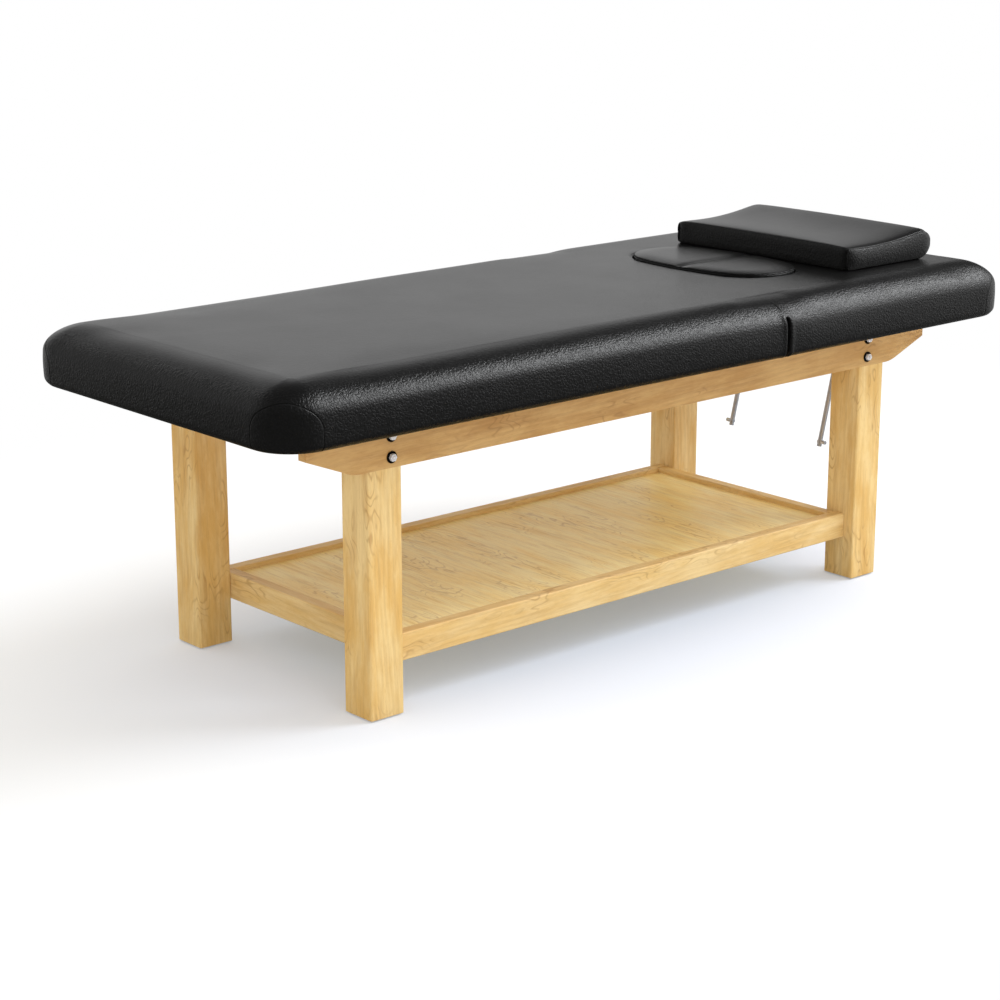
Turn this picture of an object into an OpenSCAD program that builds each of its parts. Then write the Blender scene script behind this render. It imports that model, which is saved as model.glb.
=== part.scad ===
// Massage table: a padded couch on a wooden frame with a storage tray, a tilting
// head section, a face hole with its plug, and a loose head pillow.
// Lengths are millimetres. The origin is on the floor under the mattress centre,
// +X runs to the head end and +Z up; the near side is -Y.

/* [Mattress] */
// Overall length of the mattress
mattress_l = 1850; // [1780:5:1950]
// Overall width of the mattress
mattress_w = 777; // [740:1:820]
// Thickness of the mattress, board included
mattress_t = 107; // [100:0.5:125]
// Plan radius of the four outer corners
corner_r = 87; // [75:1:110]
// Drop of the soft upper edge, from the flat top to the upright side
top_roll = 48; // [36:1:54]
// Radius of the lower edge
low_roll_r = 14; // [10:1:18]
// Thickness of the plywood board under the foam
board_t = 15; // [12:1:18]
// Margin of wrapped cover between the board and the mattress edge
board_inset = 25; // [24:1:40]

/* [Backrest] */
// Length of the tilting head section, head end to middle of the slit
backrest_l = 680; // [672:1:715]
// Width of the slit between the two sections
slit_w = 7; // [6.8:0.1:8]
// Steepest tilt of the backrest in degrees
backrest_max_deg = 35; // [30:1:38]
// Thickness of the cover that closes the slit along the top
cover_t = 3; // [2:0.5:4]
// Height of the slit's open part, from the mattress underside
slit_open_h = 72; // [60:1:84]

/* [Hinges] */
// Width of one hinge
hinge_w = 60; // [45:1:75]
// Distance from the mattress side to the middle of an outer hinge
hinge_set = 128.5; // [118:0.5:150]
// Thickness of a hinge leaf
leaf_t = 2.2; // [2.1:0.1:2.6]
// Diameter of a hinge pin
hinge_pin_d = 3; // [2.5:0.1:3.4]

/* [Face hole] */
// Length of the plug along the table
plug_l = 212; // [206:1:216]
// Width of the plug across the table
plug_w = 376; // [340:1:400]
// Radius of the oval's two end arcs
plug_end_r = 94; // [85:1:98]
// Distance from the slit to the plug
plug_set = 87.5; // [84:0.5:92]
// Gap between the plug and its hole
plug_gap = 1.5; // [1:0.1:3]
// Height that the plug stands proud of the mattress
plug_proud = 6; // [3:0.5:8]
// Radius of the plug's upper edge
plug_roll_r = 8; // [6:1:14]
// Width of the ledge that carries the plug, inside the hole
ledge_in = 14; // [8:1:20]

/* [Pillow] */
// Length of the pillow along the table
pillow_l = 262; // [240:1:264]
// Width of the pillow across the table
pillow_w = 483; // [400:1:520]
// Height of the pillow near its front edge
pillow_front_h = 49; // [44:1:60]
// Height of the pillow near its back edge
pillow_back_h = 68; // [60:1:80]
// Distance from the plug to the pillow's front edge
pillow_gap = 9; // [6:0.5:12]
// Sideways offset of the pillow, towards the near side
pillow_shift = 17; // [0:1:60]

/* [Frame] */
// Height of the frame, floor to mattress underside
frame_h = 520; // [480:1:600]
// Overhang of the mattress past the legs' outer faces
side_overhang = 96.5; // [80:0.5:105]
// Size of a leg along the table
leg_w = 71.5; // [66:0.5:80]
// Size of a leg across the table
leg_d = 73.5; // [66:0.5:80]
// Overhang of the mattress past the foot legs
foot_overhang = 246; // [230:1:260]
// Overhang of the mattress past the head legs
head_overhang = 290; // [285:1:292]
// Thickness of a side rail
rail_t = 20; // [18:0.5:24]
// Height of a side rail
rail_h = 78; // [74:1:90]
// Reach of a side rail past the foot legs
rail_foot_reach = 127; // [122:1:136]
// Reach of a side rail past the head legs
rail_head_reach = 120; // [116:1:130]
// Height of a side rail's tip
rail_tip_h = 39; // [34:1:50]
// Length of the sloped underside at a side rail's tip
rail_taper = 98; // [80:1:100]
// Thickness of a cross rail
cross_t = 24; // [18:1:28]
// Thickness of the cross rail under the slit
mid_cross_t = 44; // [36:1:50]
// Height of the low cross rail between the head legs
head_cross_h = 36; // [30:1:38]
// Thickness of a glide under a leg
glide_t = 3; // [2:0.5:6]
// Diameter of a glide
glide_d = 48; // [36:1:56]

/* [Rail bolts] */
// Diameter of a rail bolt
bolt_d = 8; // [6:0.5:9]
// Diameter of a washer
washer_d = 21; // [18:0.5:24]
// Distance from a leg's inner edge to its bolts
bolt_inset = 21; // [18:0.5:26]
// Height of the lower bolt above the rail's underside
bolt_low = 18.5; // [16:0.5:22]
// Distance between the two bolts of a leg
bolt_pitch = 36.5; // [32:0.5:40]

/* [Tray] */
// Height of the tray above the floor
tray_z = 85; // [70:1:110]
// Height of a tray rail
tray_h = 50; // [44:1:60]
// Thickness of a tray rail
tray_t = 26; // [22:1:30]
// Distance from a leg's outer face to the tray's outer face
tray_inset = 26; // [24:1:30]
// Thickness of the shelf panel
panel_t = 9; // [6:1:12]
// Height of the lip above the panel
lip_h = 9; // [6:1:12]
// Side of a square cleat under the panel
cleat_w = 20; // [16:1:22]

/* [Prop] */
// Distance from the head end to the prop's pivot
prop_back = 215; // [212:1:218]
// Distance from the board's underside to the pivot
prop_drop = 15; // [14:1:18]
// Distance from the legs' inner faces to the prop's rods, at their centres
prop_set = 93.5; // [93:0.5:96]
// Diameter of the prop's rod
rod_d = 10; // [8:0.5:11]
// Length of the prop from its pivot to the rods' lower ends
prop_l = 278; // [270:1:284]
// Lean of the hanging prop in degrees, lower end towards the foot
prop_lean = 14; // [10:1:18]
// Diameter of the pegs near the rods' lower ends
peg_d = 8; // [6:0.5:9]
// Height of a peg above the rod's lower end
peg_up = 10; // [8:1:14]
// Distance from a rod's centre to the notched rack beside it
rack_set = 10; // [9.5:0.5:13]

/* [Hidden] */
$fn = 64;

sides = [-1, 1];
ends = [-1, 1];

// Finishes, close to the real ones
wood = [0.80, 0.60, 0.36];
plywood = [0.72, 0.55, 0.36];
vinyl = [0.09, 0.09, 0.09];
steel = [0.72, 0.72, 0.74];
black_steel = [0.08, 0.08, 0.08];

// Small shared values
overrun = 1;
fit_gap = 0.1;
running_gap = 0.05;
rest_gap = 0.2;
ease = 2;
screw_d = 4;
screw_head_d = 8;
screw_head_h = 2;
dowel_d = 8;
dowel_l = 40;

// Main levels and stations
top_z = frame_h + mattress_t;
half_l = mattress_l / 2;
half_w = mattress_w / 2;
half_frame = half_w - side_overhang;
hinge_x = half_l - backrest_l;
slit_foot = hinge_x - slit_w / 2;
slit_head = hinge_x + slit_w / 2;
board_top = frame_h + board_t;
rail_low = frame_h - rail_h;
rail_in_y = half_frame - rail_t;
leg_cy = half_frame - leg_d / 2;
leg_in_y = half_frame - leg_d;
foot_leg_x = -half_l + foot_overhang + leg_w / 2;
head_leg_x = half_l - head_overhang - leg_w / 2;
function leg_x(e) = e < 0 ? foot_leg_x : head_leg_x;
function leg_in_x(e) = leg_x(e) - e * leg_w / 2;

// The hinge line lies high in the slit, under the closed cover, at the greatest
// depth at which the two square-cut ends still miss each other at full tilt
axis_margin = 0.8;
hinge_z = top_z - slit_w / 2 / tan(backrest_max_deg / 2) + axis_margin;

// Foam and board outlines

// Points up the edge of a slab from its underside to its flat top: a quarter circle
// below, the upright side, and a quarter oval above
function edge_points(reach, t, roll_in, roll, low_r) =
    let (roll_steps = 14, low_steps = 6)
    concat([for (i = [0:low_steps]) let (a = 90 * i / low_steps)
                [reach - low_r * (1 - sin(a)), low_r * (1 - cos(a))]],
           [for (i = [0:roll_steps]) let (a = 90 * i / roll_steps)
                [reach - roll_in * (1 - cos(a)), t - roll * (1 - sin(a))]]);

// The same edge of the mattress, drawn in by an inset
function mattress_points(inset) =
    edge_points(corner_r - inset, mattress_t - inset, corner_r - inset, top_roll - inset,
                low_roll_r - inset);

// Half of a slab's section, from its middle line out to its edge
module half_section(points, t)
    polygon(concat([[0, 0]], points, points[len(points) - 1][0] > 0 ? [[0, t]] : []));

module mattress_edge() half_section(mattress_points(0), mattress_t);

// Full section: an edge moved out from the middle, and its mirror image
module full_section(points, out) {
    one_side = [for (p = points) [p[0] + out, p[1]]];
    other_side = [for (i = [len(points) - 1:-1:0]) [-one_side[i][0], one_side[i][1]]];
    polygon(concat(one_side, other_side));
}

// Cross-section of the mattress, drawn in by an inset
module slab_section(inset) full_section(mattress_points(inset), half_w - corner_r);

// Rolled slab from its outer end to a square-cut face
module rolled_slab(outer_x, cut_x) {
    dir = sign(outer_x - cut_x);
    centre_x = outer_x - dir * corner_r;
    centre_y = half_w - corner_r;
    translate([min(centre_x, cut_x), 0, 0]) rotate([90, 0, 90])
        linear_extrude(abs(centre_x - cut_x)) slab_section(0);
    for (s = sides) translate([centre_x, s * centre_y, 0]) rotate_extrude() mattress_edge();
    translate([centre_x, centre_y, 0]) rotate([90, 0, 0]) linear_extrude(2 * centre_y)
        mirror([dir < 0 ? 1 : 0, 0]) mattress_edge();
}

// Outline of the board under a slab
module board_plan(outer_x, cut_x) {
    dir = sign(outer_x - cut_x);
    centre_x = outer_x - dir * corner_r;
    centre_y = half_w - corner_r;
    board_r = corner_r - board_inset;
    for (s = sides) translate([centre_x, s * centre_y]) circle(board_r);
    translate([min(centre_x, cut_x), -centre_y - board_r])
        square([abs(centre_x - cut_x), 2 * (centre_y + board_r)]);
    translate([min(centre_x, centre_x + dir * board_r), -centre_y])
        square([board_r, 2 * centre_y]);
}

// Face hole and plug outline: an oval of two wide side arcs and two end arcs, which
// meet where they run in the same direction
plug_x = slit_head + plug_set + plug_l / 2;
hole_l = plug_l + 2 * plug_gap;
end_arc_y = plug_w / 2 - plug_end_r;
side_arc_r = (pow(plug_l / 2, 2) + pow(end_arc_y, 2) - pow(plug_end_r, 2))
    / (plug_l - 2 * plug_end_r);
side_arc_x = side_arc_r - plug_l / 2;
side_arc_deg = atan(end_arc_y / side_arc_x);
side_steps = 12;
end_steps = 24;
oval_turns = [for (half = [0, 180]) each concat(
    [for (i = [0:side_steps - 1]) half + side_arc_deg * (2 * i / side_steps - 1)],
    [for (i = [0:end_steps - 1]) half + side_arc_deg + (180 - 2 * side_arc_deg) * i / end_steps])];
function oval_point(turn, inset) = abs(sin(turn)) <= sin(side_arc_deg)
    ? [(side_arc_r - inset) * cos(turn) - sign(cos(turn)) * side_arc_x, (side_arc_r - inset) * sin(turn)]
    : [(plug_end_r - inset) * cos(turn), sign(sin(turn)) * end_arc_y + (plug_end_r - inset) * sin(turn)];
module face_oval(grow) polygon([for (turn = oval_turns) oval_point(turn, -grow)]);

module main_board() color(plywood) difference() {
    translate([0, 0, frame_h]) linear_extrude(board_t) board_plan(-half_l, slit_foot);
    at_hinge_screws(-1) screw_hole(hinge_screw_l);
    at_clips() at_clip_board_screw() screw_hole(clip_screw_l);
}

module main_pad() color(vinyl) difference() {
    translate([0, 0, frame_h]) rolled_slab(-half_l, slit_foot);
    translate([0, 0, frame_h - overrun]) linear_extrude(board_t + overrun)
        board_plan(-half_l, slit_foot + overrun);
}

module backrest_board() color(plywood) difference() {
    translate([0, 0, frame_h]) linear_extrude(board_t) difference() {
        board_plan(half_l, slit_head);
        translate([plug_x, 0]) face_oval(plug_gap);
    }
    at_hinge_screws(1) screw_hole(hinge_screw_l);
    at_ledge_screws() screw_hole(ledge_screw_l);
    at_bracket_screws() screw_hole(bracket_screw_l);
}

module backrest_pad() color(vinyl) difference() {
    translate([0, 0, frame_h]) rolled_slab(half_l, slit_head);
    translate([0, 0, frame_h - overrun]) linear_extrude(board_t + overrun)
        board_plan(half_l, slit_head - overrun);
    translate([plug_x, 0, frame_h]) linear_extrude(mattress_t + overrun) face_oval(plug_gap);
}

// Cover over the slit: the outer skin of the slab's section, above the open part
module cover_strip() color(vinyl)
    translate([slit_foot, 0, frame_h]) rotate([90, 0, 90]) linear_extrude(slit_w) difference() {
        intersection() {
            slab_section(0);
            translate([-half_w, slit_open_h]) square([mattress_w, mattress_t]);
        }
        slab_section(cover_t);
    }

// Face plug: a board that sits on the ledges, with a foam top rolled at its edge. The
// foam is drawn as rings of points, each a little further in than the outline.
plug_low_r = 3;
module plug_board() color(plywood) translate([plug_x, 0, frame_h])
    linear_extrude(board_t) face_oval(0);

module plug_pad() color(vinyl) {
    plug_t = top_z + plug_proud - board_top;
    rolls = concat([for (a = [0, 45, 90]) plug_low_r * [1 - sin(a), 1 - cos(a)]],
                   [for (a = [0:15:90]) [0, plug_t] + plug_roll_r * [1 - cos(a), sin(a) - 1]]);
    rows = len(rolls);
    n = len(oval_turns);
    rings = [for (roll = rolls) for (turn = oval_turns) let (p = oval_point(turn, roll[0]))
        [plug_x + p[0], p[1], board_top + roll[1]]];
    centres = [[plug_x, 0, board_top], [plug_x, 0, board_top + plug_t]];
    walls = [for (r = [0:rows - 2]) for (i = [0:n - 1]) let (j = (i + 1) % n)
        each [[r * n + i, (r + 1) * n + i, r * n + j], [r * n + j, (r + 1) * n + i, (r + 1) * n + j]]];
    low_cap = [for (i = [0:n - 1]) [rows * n, i, (i + 1) % n]];
    top_cap = [for (i = [0:n - 1]) [rows * n + 1, (rows - 1) * n + (i + 1) % n, (rows - 1) * n + i]];
    polyhedron(concat(rings, centres), concat(walls, low_cap, top_cap));
}

// Pillow: a wedge with a hollowed top, a square front, a full back and rounded ends.
// Rings of points stand side by side across the table, and shrink over each end.
pillow_x = plug_x + plug_l / 2 + pillow_gap + pillow_l / 2;
pillow_z = top_z + rest_gap;
pillow_dip = 6;
pillow_crown = 3;
pillow_sink = 1.2;
pillow_end_r = 17;
end_rings = 5;
mid_rings = 8;
corner_steps = 5;
// One ring in shares of the pillow's length and height: from the back over the top
// to the front, and back along the underside
function ring_corner(along, up, r_along, r_up, start) =
    [for (i = [0:corner_steps]) let (a = start + 90 * i / corner_steps)
        [along + r_along * cos(a), up + r_up * sin(a)]];
ring_shares = concat(
    ring_corner(0.9, 0.52, 0.1, 0.48, 0), [for (i = [1:6]) [0.9 - i * 0.125, 1]],
    ring_corner(0.03, 0.88, 0.03, 0.12, 90), ring_corner(0.03, 0.12, 0.03, 0.12, 180),
    [for (i = [1:4]) [0.03 + i * 0.16, 0]], ring_corner(0.86, 0.48, 0.14, 0.48, 270));
function pillow_h(u) = pillow_front_h + (pillow_back_h - pillow_front_h) * pow(u, 1.6)
    - pillow_dip * sin(180 * u);
function pillow_point(share, y, inset) =
    let (along = 2 * share[0] - 1, up = 2 * share[1] - 1)
    let (h = pillow_h((along + 1) / 2), crown = pillow_crown * (1 - pow(2 * y / pillow_w, 2)))
    let (z = h / 2 + up * (h / 2 - inset) + (up > 0 ? crown * up * (1 - along * along) : 0))
    [pillow_x + along * (pillow_l / 2 - inset), y - pillow_shift,
     pillow_z + max(0, z - pillow_sink)];
end_turns = [for (i = [0:end_rings]) 90 * i / end_rings];
near_stations = [for (a = end_turns)
    [-pillow_w / 2 + pillow_end_r * (1 - cos(a)), pillow_end_r * (1 - sin(a))]];
mid_stations = [for (i = [1:mid_rings - 1])
    [(pillow_w / 2 - pillow_end_r) * (2 * i / mid_rings - 1), 0]];
far_stations = [for (i = [0:end_rings])
    [-near_stations[end_rings - i][0], near_stations[end_rings - i][1]]];
pillow_stations = concat(near_stations, mid_stations, far_stations);

module pillow() color(vinyl) {
    rows = len(pillow_stations);
    n = len(ring_shares);
    rings = [for (st = pillow_stations) for (share = ring_shares) pillow_point(share, st[0], st[1])];
    end_z = pillow_z + pillow_front_h / 2;
    end_centres = [for (s = sides) [pillow_x, s * pillow_w / 2 - pillow_shift, end_z]];
    walls = [for (r = [0:rows - 2]) for (i = [0:n - 1]) let (j = (i + 1) % n)
        each [[r * n + i, r * n + j, (r + 1) * n + i], [r * n + j, (r + 1) * n + j, (r + 1) * n + i]]];
    near_cap = [for (i = [0:n - 1]) [rows * n, (i + 1) % n, i]];
    far_cap = [for (i = [0:n - 1]) [rows * n + 1, (rows - 1) * n + i, (rows - 1) * n + (i + 1) % n]];
    polyhedron(concat(rings, end_centres), concat(walls, near_cap, far_cap));
}

// Wood sections

// Rectangle with its corners eased
module eased_plan(w, d) {
    x = w / 2;
    y = d / 2;
    polygon([[-x + ease, -y], [x - ease, -y], [x, -y + ease], [x, y - ease],
             [x - ease, y], [-x + ease, y], [-x, y - ease], [-x, -y + ease]]);
}

// Eased bar along X from x0 to x1, centred at y, standing on z
module bar_x(x0, x1, y, z, d, h)
    translate([x0, y, z + h / 2]) rotate([90, 0, 90]) linear_extrude(x1 - x0) eased_plan(d, h);

// Eased bar across the table, centred at x, reaching to half_reach on both sides
module bar_y(x, half_reach, z, w, h)
    translate([x, half_reach, z + h / 2]) rotate([90, 0, 0])
        linear_extrude(2 * half_reach) eased_plan(w, h);

// Screws and dowels. A screw points down with the top of its head at the origin.
module screw(l) {
    translate([0, 0, -screw_head_h])
        cylinder(h = screw_head_h, d1 = screw_d, d2 = screw_head_d);
    translate([0, 0, -l]) cylinder(h = l - screw_head_h, d = screw_d);
}
module screw_hole(l) {
    translate([0, 0, -screw_head_h])
        cylinder(h = screw_head_h, d1 = screw_d + 2 * fit_gap, d2 = screw_head_d + 2 * fit_gap);
    cylinder(h = overrun, d = screw_head_d + 2 * fit_gap);
    translate([0, 0, -l - fit_gap]) cylinder(h = l, d = screw_d + 2 * fit_gap);
}
module dowel() cylinder(h = dowel_l, d = dowel_d, center = true);
module dowel_hole() cylinder(h = dowel_l + 2 * fit_gap, d = dowel_d + 2 * fit_gap, center = true);

// Legs
glide_nail_d = 3;
glide_nail_l = 14;
module at_legs() for (e = ends, s = sides) translate([leg_x(e), s * leg_cy, 0]) children();

module leg(e, s) color(wood) difference() {
    translate([leg_x(e), s * leg_cy, glide_t]) linear_extrude(frame_h - glide_t)
        eased_plan(leg_w, leg_d);
    translate([leg_x(e) - leg_w, s < 0 ? -half_frame - overrun : rail_in_y, rail_low])
        cube([2 * leg_w, rail_t + overrun, rail_h + overrun]);
    translate([leg_x(e), s * leg_cy, glide_t - overrun])
        cylinder(h = glide_nail_l + overrun + fit_gap, d = glide_nail_d + 2 * fit_gap);
    at_rail_bolts(e, s) bolt_bores();
    at_cross_dowels(e, s) dowel_hole();
    at_tray_dowels(e, s) dowel_hole();
    at_tray_screws(e, s) screw_hole(tray_screw_l);
}

module leg_glides() color(black_steel) at_legs() {
    cylinder(h = glide_t, d = glide_d);
    translate([0, 0, glide_t]) cylinder(h = glide_nail_l, d = glide_nail_d);
}

// Side rails: let into the legs, tapered at both tips, with a soft knee
rail_knee_r = 80;
rail_slope = atan((rail_h - rail_tip_h) / rail_taper);
rail_foot_x = leg_x(-1) - leg_w / 2 - rail_foot_reach;
rail_head_x = leg_x(1) + leg_w / 2 + rail_head_reach;
knee_shift = rail_taper + rail_knee_r * tan(rail_slope / 2);
knee_steps = 6;
module rail_outline() {
    knee = [for (i = [0:knee_steps]) 270 - rail_slope * (1 - i / knee_steps)];
    foot_knee = [for (a = knee) [rail_foot_x + knee_shift + rail_knee_r * cos(a),
                                 rail_low + rail_knee_r * (1 + sin(a))]];
    head_knee = [for (i = [0:knee_steps])
        [rail_head_x - knee_shift - rail_knee_r * cos(knee[knee_steps - i]),
         rail_low + rail_knee_r * (1 + sin(knee[knee_steps - i]))]];
    polygon(concat([[rail_foot_x, frame_h], [rail_foot_x, frame_h - rail_tip_h]], foot_knee, head_knee,
                   [[rail_head_x, frame_h - rail_tip_h], [rail_head_x, frame_h]]));
}
module side_rail(s) color(wood) difference() {
    translate([0, s < 0 ? -rail_in_y : half_frame, 0]) rotate([90, 0, 0])
        linear_extrude(rail_t) rail_outline();
    for (e = ends) at_rail_bolts(e, s) bolt_bores();
    at_rail_dowels(s) dowel_hole();
}

// Rail bolts: each passes a washer and the rail into a threaded insert in the leg
bolt_head_t = 5.5;
bolt_end_t = 3;
washer_t = 1.6;
insert_l = 20;
insert_wall = 2;
bolt_heights = [rail_low + bolt_low, rail_low + bolt_low + bolt_pitch];
insert_d = bolt_d + 2 * insert_wall;
module at_rail_bolts(e, s) for (z = bolt_heights)
    translate([leg_in_x(e) + e * bolt_inset, s * half_frame, z]) rotate([-90 * s, 0, 0]) children();
module bolt_bores() {
    translate([0, 0, -rail_t - insert_l]) cylinder(h = rail_t + insert_l + overrun,
                                                   d = bolt_d + 2 * fit_gap);
    translate([0, 0, -rail_t - insert_l]) cylinder(h = insert_l, d = insert_d);
}
module at_all_rail_bolts() for (e = ends, s = sides) at_rail_bolts(e, s) children();
module rail_bolts() color(steel) at_all_rail_bolts() {
    translate([0, 0, -rail_t - insert_l]) cylinder(h = rail_t + insert_l + washer_t, d = bolt_d);
    translate([0, 0, washer_t]) cylinder(h = bolt_head_t, d = bolt_d * 1.7, $fn = 6);
    translate([0, 0, washer_t + bolt_head_t]) cylinder(h = bolt_end_t, d = bolt_d * 0.8);
}
module rail_washers() color(black_steel) at_all_rail_bolts() difference() {
    cylinder(h = washer_t, d = washer_d);
    translate([0, 0, -overrun]) cylinder(h = washer_t + 2 * overrun, d = bolt_d + 2 * fit_gap);
}
module rail_inserts() color(steel) at_all_rail_bolts() translate([0, 0, -rail_t - insert_l])
    difference() {
        cylinder(h = insert_l, d = insert_d);
        translate([0, 0, -overrun]) cylinder(h = insert_l + 2 * overrun, d = bolt_d + 2 * running_gap);
    }

// Bearers run from the cross rail under the slit to past the head cross rail, and
// carry the notched racks on their inner faces
prop_w = 2 * (leg_in_y - prop_set);
rack_w = prop_w + 2 * rack_set;
rack_t = 5;
bearer_t = 22;
bearer_cy = rack_w / 2 + rack_t + bearer_t / 2;
bearer_z = rail_low + head_cross_h;
bearer_h = frame_h - bearer_z;
bearer_screw_l = 60;

// Cross rails between the legs and between the side rails
head_cross_t = 20;
head_cross_set = 2.5;
main_cross_share = 0.5;
head_cross_x = leg_in_x(1) + head_cross_set + head_cross_t / 2;
main_cross_x = leg_x(-1) + main_cross_share * (hinge_x - leg_x(-1));
module at_cross_dowels(e, s) for (share = e < 0 ? [0.2, 0.8] : [0.3, 0.7])
    translate([e < 0 ? leg_x(e) : head_cross_x, s * leg_in_y,
               rail_low + share * (e < 0 ? rail_h : head_cross_h)])
        rotate([90, 0, 0]) children();
// Less of a dowel enters the thin side rail than the cross rail
rail_dowel_depth = 12;
module at_rail_dowels(s) for (x = [main_cross_x, hinge_x], share = [0.25, 0.75])
    translate([x, s * (rail_in_y + rail_dowel_depth - dowel_l / 2), rail_low + share * rail_h])
        rotate([90, 0, 0]) children();
module at_bearer_dowels(s) for (share = [0.3, 0.7])
    translate([hinge_x + mid_cross_t / 2, s * bearer_cy, bearer_z + share * bearer_h])
        rotate([0, 90, 0]) children();
module frame_dowels() color(wood) {
    for (e = ends, s = sides) at_cross_dowels(e, s) dowel();
    for (s = sides) {
        at_rail_dowels(s) dowel();
        at_bearer_dowels(s) dowel();
    }
}
module foot_cross_rail() color(wood) difference() {
    bar_y(leg_x(-1), leg_in_y, rail_low, cross_t, rail_h);
    for (s = sides) at_cross_dowels(-1, s) dowel_hole();
    at_clips() at_clip_rail_screw() screw_hole(clip_screw_l);
}
module main_cross_rail() color(wood) difference() {
    bar_y(main_cross_x, rail_in_y, rail_low, cross_t, rail_h);
    for (s = sides) at_rail_dowels(s) dowel_hole();
    at_clips() at_clip_rail_screw() screw_hole(clip_screw_l);
}
module mid_cross_rail() color(wood) difference() {
    bar_y(hinge_x, rail_in_y, rail_low, mid_cross_t, rail_h);
    for (s = sides) {
        at_rail_dowels(s) dowel_hole();
        at_bearer_dowels(s) dowel_hole();
    }
}
module head_cross_rail() color(wood) difference() {
    bar_y(head_cross_x, leg_in_y, rail_low, head_cross_t, head_cross_h);
    for (s = sides) {
        at_cross_dowels(1, s) dowel_hole();
        at_bearer_screws(s) screw_hole(bearer_screw_l);
    }
}

// Prop geometry. A notch stands where the peg is when the rods lean by the given
// angle and the peg has come down to the notch's height.
pivot_x = half_l - prop_back;
pivot_z = frame_h - prop_drop;
pivot_reach = norm([pivot_x - hinge_x, pivot_z - hinge_z]);
peg_reach = prop_l - peg_up;
rack_low_set = 6;
rack_h = 28;
notch_up = 11;
notch_gap = 0.6;
rack_tail_l = 20;
notch_leans = [69, 47, 12];
rack_z = bearer_z + rack_low_set;
notch_z = rack_z + notch_up;
function notch_x(lean) =
    let (tilt = asin((notch_z + peg_reach * cos(lean) - hinge_z) / pivot_reach))
    hinge_x + pivot_reach * cos(tilt) - peg_reach * sin(lean);
notches = [for (lean = notch_leans) notch_x(lean)];
rack_foot_x = notches[0] - rack_tail_l;
rack_head_x = notches[2] + rack_tail_l;
rack_screw_l = 18;
module at_rack_screws(s) for (i = [0, 1])
    translate([(notches[i] + notches[i + 1]) / 2, s * rack_w / 2, rack_z + rack_h / 2])
        rotate([90 * s, 0, 0]) children();
module rack(s) color(steel) difference() {
    translate([rack_foot_x, s < 0 ? -rack_w / 2 - rack_t : rack_w / 2, rack_z])
        cube([rack_head_x - rack_foot_x, rack_t, rack_h]);
    for (x = notches) translate([x, s * (rack_w + rack_t) / 2, notch_z]) {
        rotate([90, 0, 0]) cylinder(h = rack_t + 2 * overrun, d = peg_d + 2 * notch_gap, center = true);
        translate([-peg_d / 2 - notch_gap, -rack_t / 2 - overrun, 0])
            cube([peg_d + 2 * notch_gap, rack_t + 2 * overrun, rack_h]);
    }
    at_rack_screws(s) screw_hole(rack_screw_l);
}
module rack_screws() color(steel) for (s = sides) at_rack_screws(s) screw(rack_screw_l);
module at_bearer_screws(s) translate([head_cross_x, s * bearer_cy, rail_low])
    rotate([180, 0, 0]) children();
module bearer(s) color(wood) difference() {
    bar_x(hinge_x + mid_cross_t / 2, rack_head_x, s * bearer_cy, bearer_z, bearer_t, bearer_h);
    at_bearer_dowels(s) dowel_hole();
    at_bearer_screws(s) screw_hole(bearer_screw_l);
    at_rack_screws(s) screw_hole(rack_screw_l);
}
module bearer_screws() color(steel) for (s = sides) at_bearer_screws(s) screw(bearer_screw_l);

// The prop: one bent rod with a cross-bar that turns in two brackets, and a peg
// through each leg of it
bend_r = 12;
peg_short = 0.5;
peg_l = rod_d / 2 + rack_set + rack_t - peg_short;
bracket_ear_t = 8;
bracket_inset = 30;
bracket_plate_t = 3;
bracket_l = 44;
bracket_w = 34;
bracket_wall = 5;
bracket_screw_l = 14;
module at_prop() translate([pivot_x, 0, pivot_z]) rotate([0, prop_lean, 0]) children();
module prop_bail() color(steel) at_prop() difference() {
    union() {
        rotate([90, 0, 0]) cylinder(h = prop_w - 2 * bend_r, d = rod_d, center = true);
        for (s = sides) {
            translate([0, s * prop_w / 2, -prop_l]) cylinder(h = prop_l - bend_r, d = rod_d);
            translate([0, s * (prop_w / 2 - bend_r), -bend_r]) rotate([90, 0, 90])
                rotate([0, 0, s < 0 ? 90 : 0]) rotate_extrude(angle = 90)
                    translate([bend_r, 0]) circle(d = rod_d);
        }
    }
    at_pegs() cylinder(h = peg_l + 2 * rod_d, d = peg_d + 2 * running_gap, center = true);
}
// Pegs start at the rod's inner face and stick out towards the racks
module at_pegs() for (s = sides)
    translate([0, s * (prop_w + peg_l - rod_d) / 2, peg_up - prop_l]) rotate([90, 0, 0]) children();
module prop_pegs() color(steel) at_prop() at_pegs() cylinder(h = peg_l, d = peg_d, center = true);

bracket_y = prop_w / 2 - bracket_inset;
module at_brackets() for (s = sides) translate([pivot_x, s * bracket_y, 0]) children();
module at_bracket_screws() at_brackets() for (e = ends)
    translate([e * bracket_l / 3, 0, frame_h - bracket_plate_t]) rotate([180, 0, 0]) children();
module prop_brackets() color(steel) difference() {
    at_brackets() {
        translate([-bracket_l / 2, -bracket_w / 2, frame_h - bracket_plate_t])
            cube([bracket_l, bracket_w, bracket_plate_t]);
        translate([0, bracket_ear_t / 2, pivot_z]) rotate([90, 0, 0]) linear_extrude(bracket_ear_t) {
            circle(d = rod_d + 2 * bracket_wall);
            translate([-rod_d / 2 - bracket_wall, 0])
                square([rod_d + 2 * bracket_wall, prop_drop - bracket_plate_t]);
        }
    }
    translate([pivot_x, 0, pivot_z]) rotate([90, 0, 0])
        cylinder(h = prop_w, d = rod_d + 2 * running_gap, center = true);
    at_bracket_screws() screw_hole(bracket_screw_l);
}
module bracket_screws() color(steel) at_bracket_screws() screw(bracket_screw_l);

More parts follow.
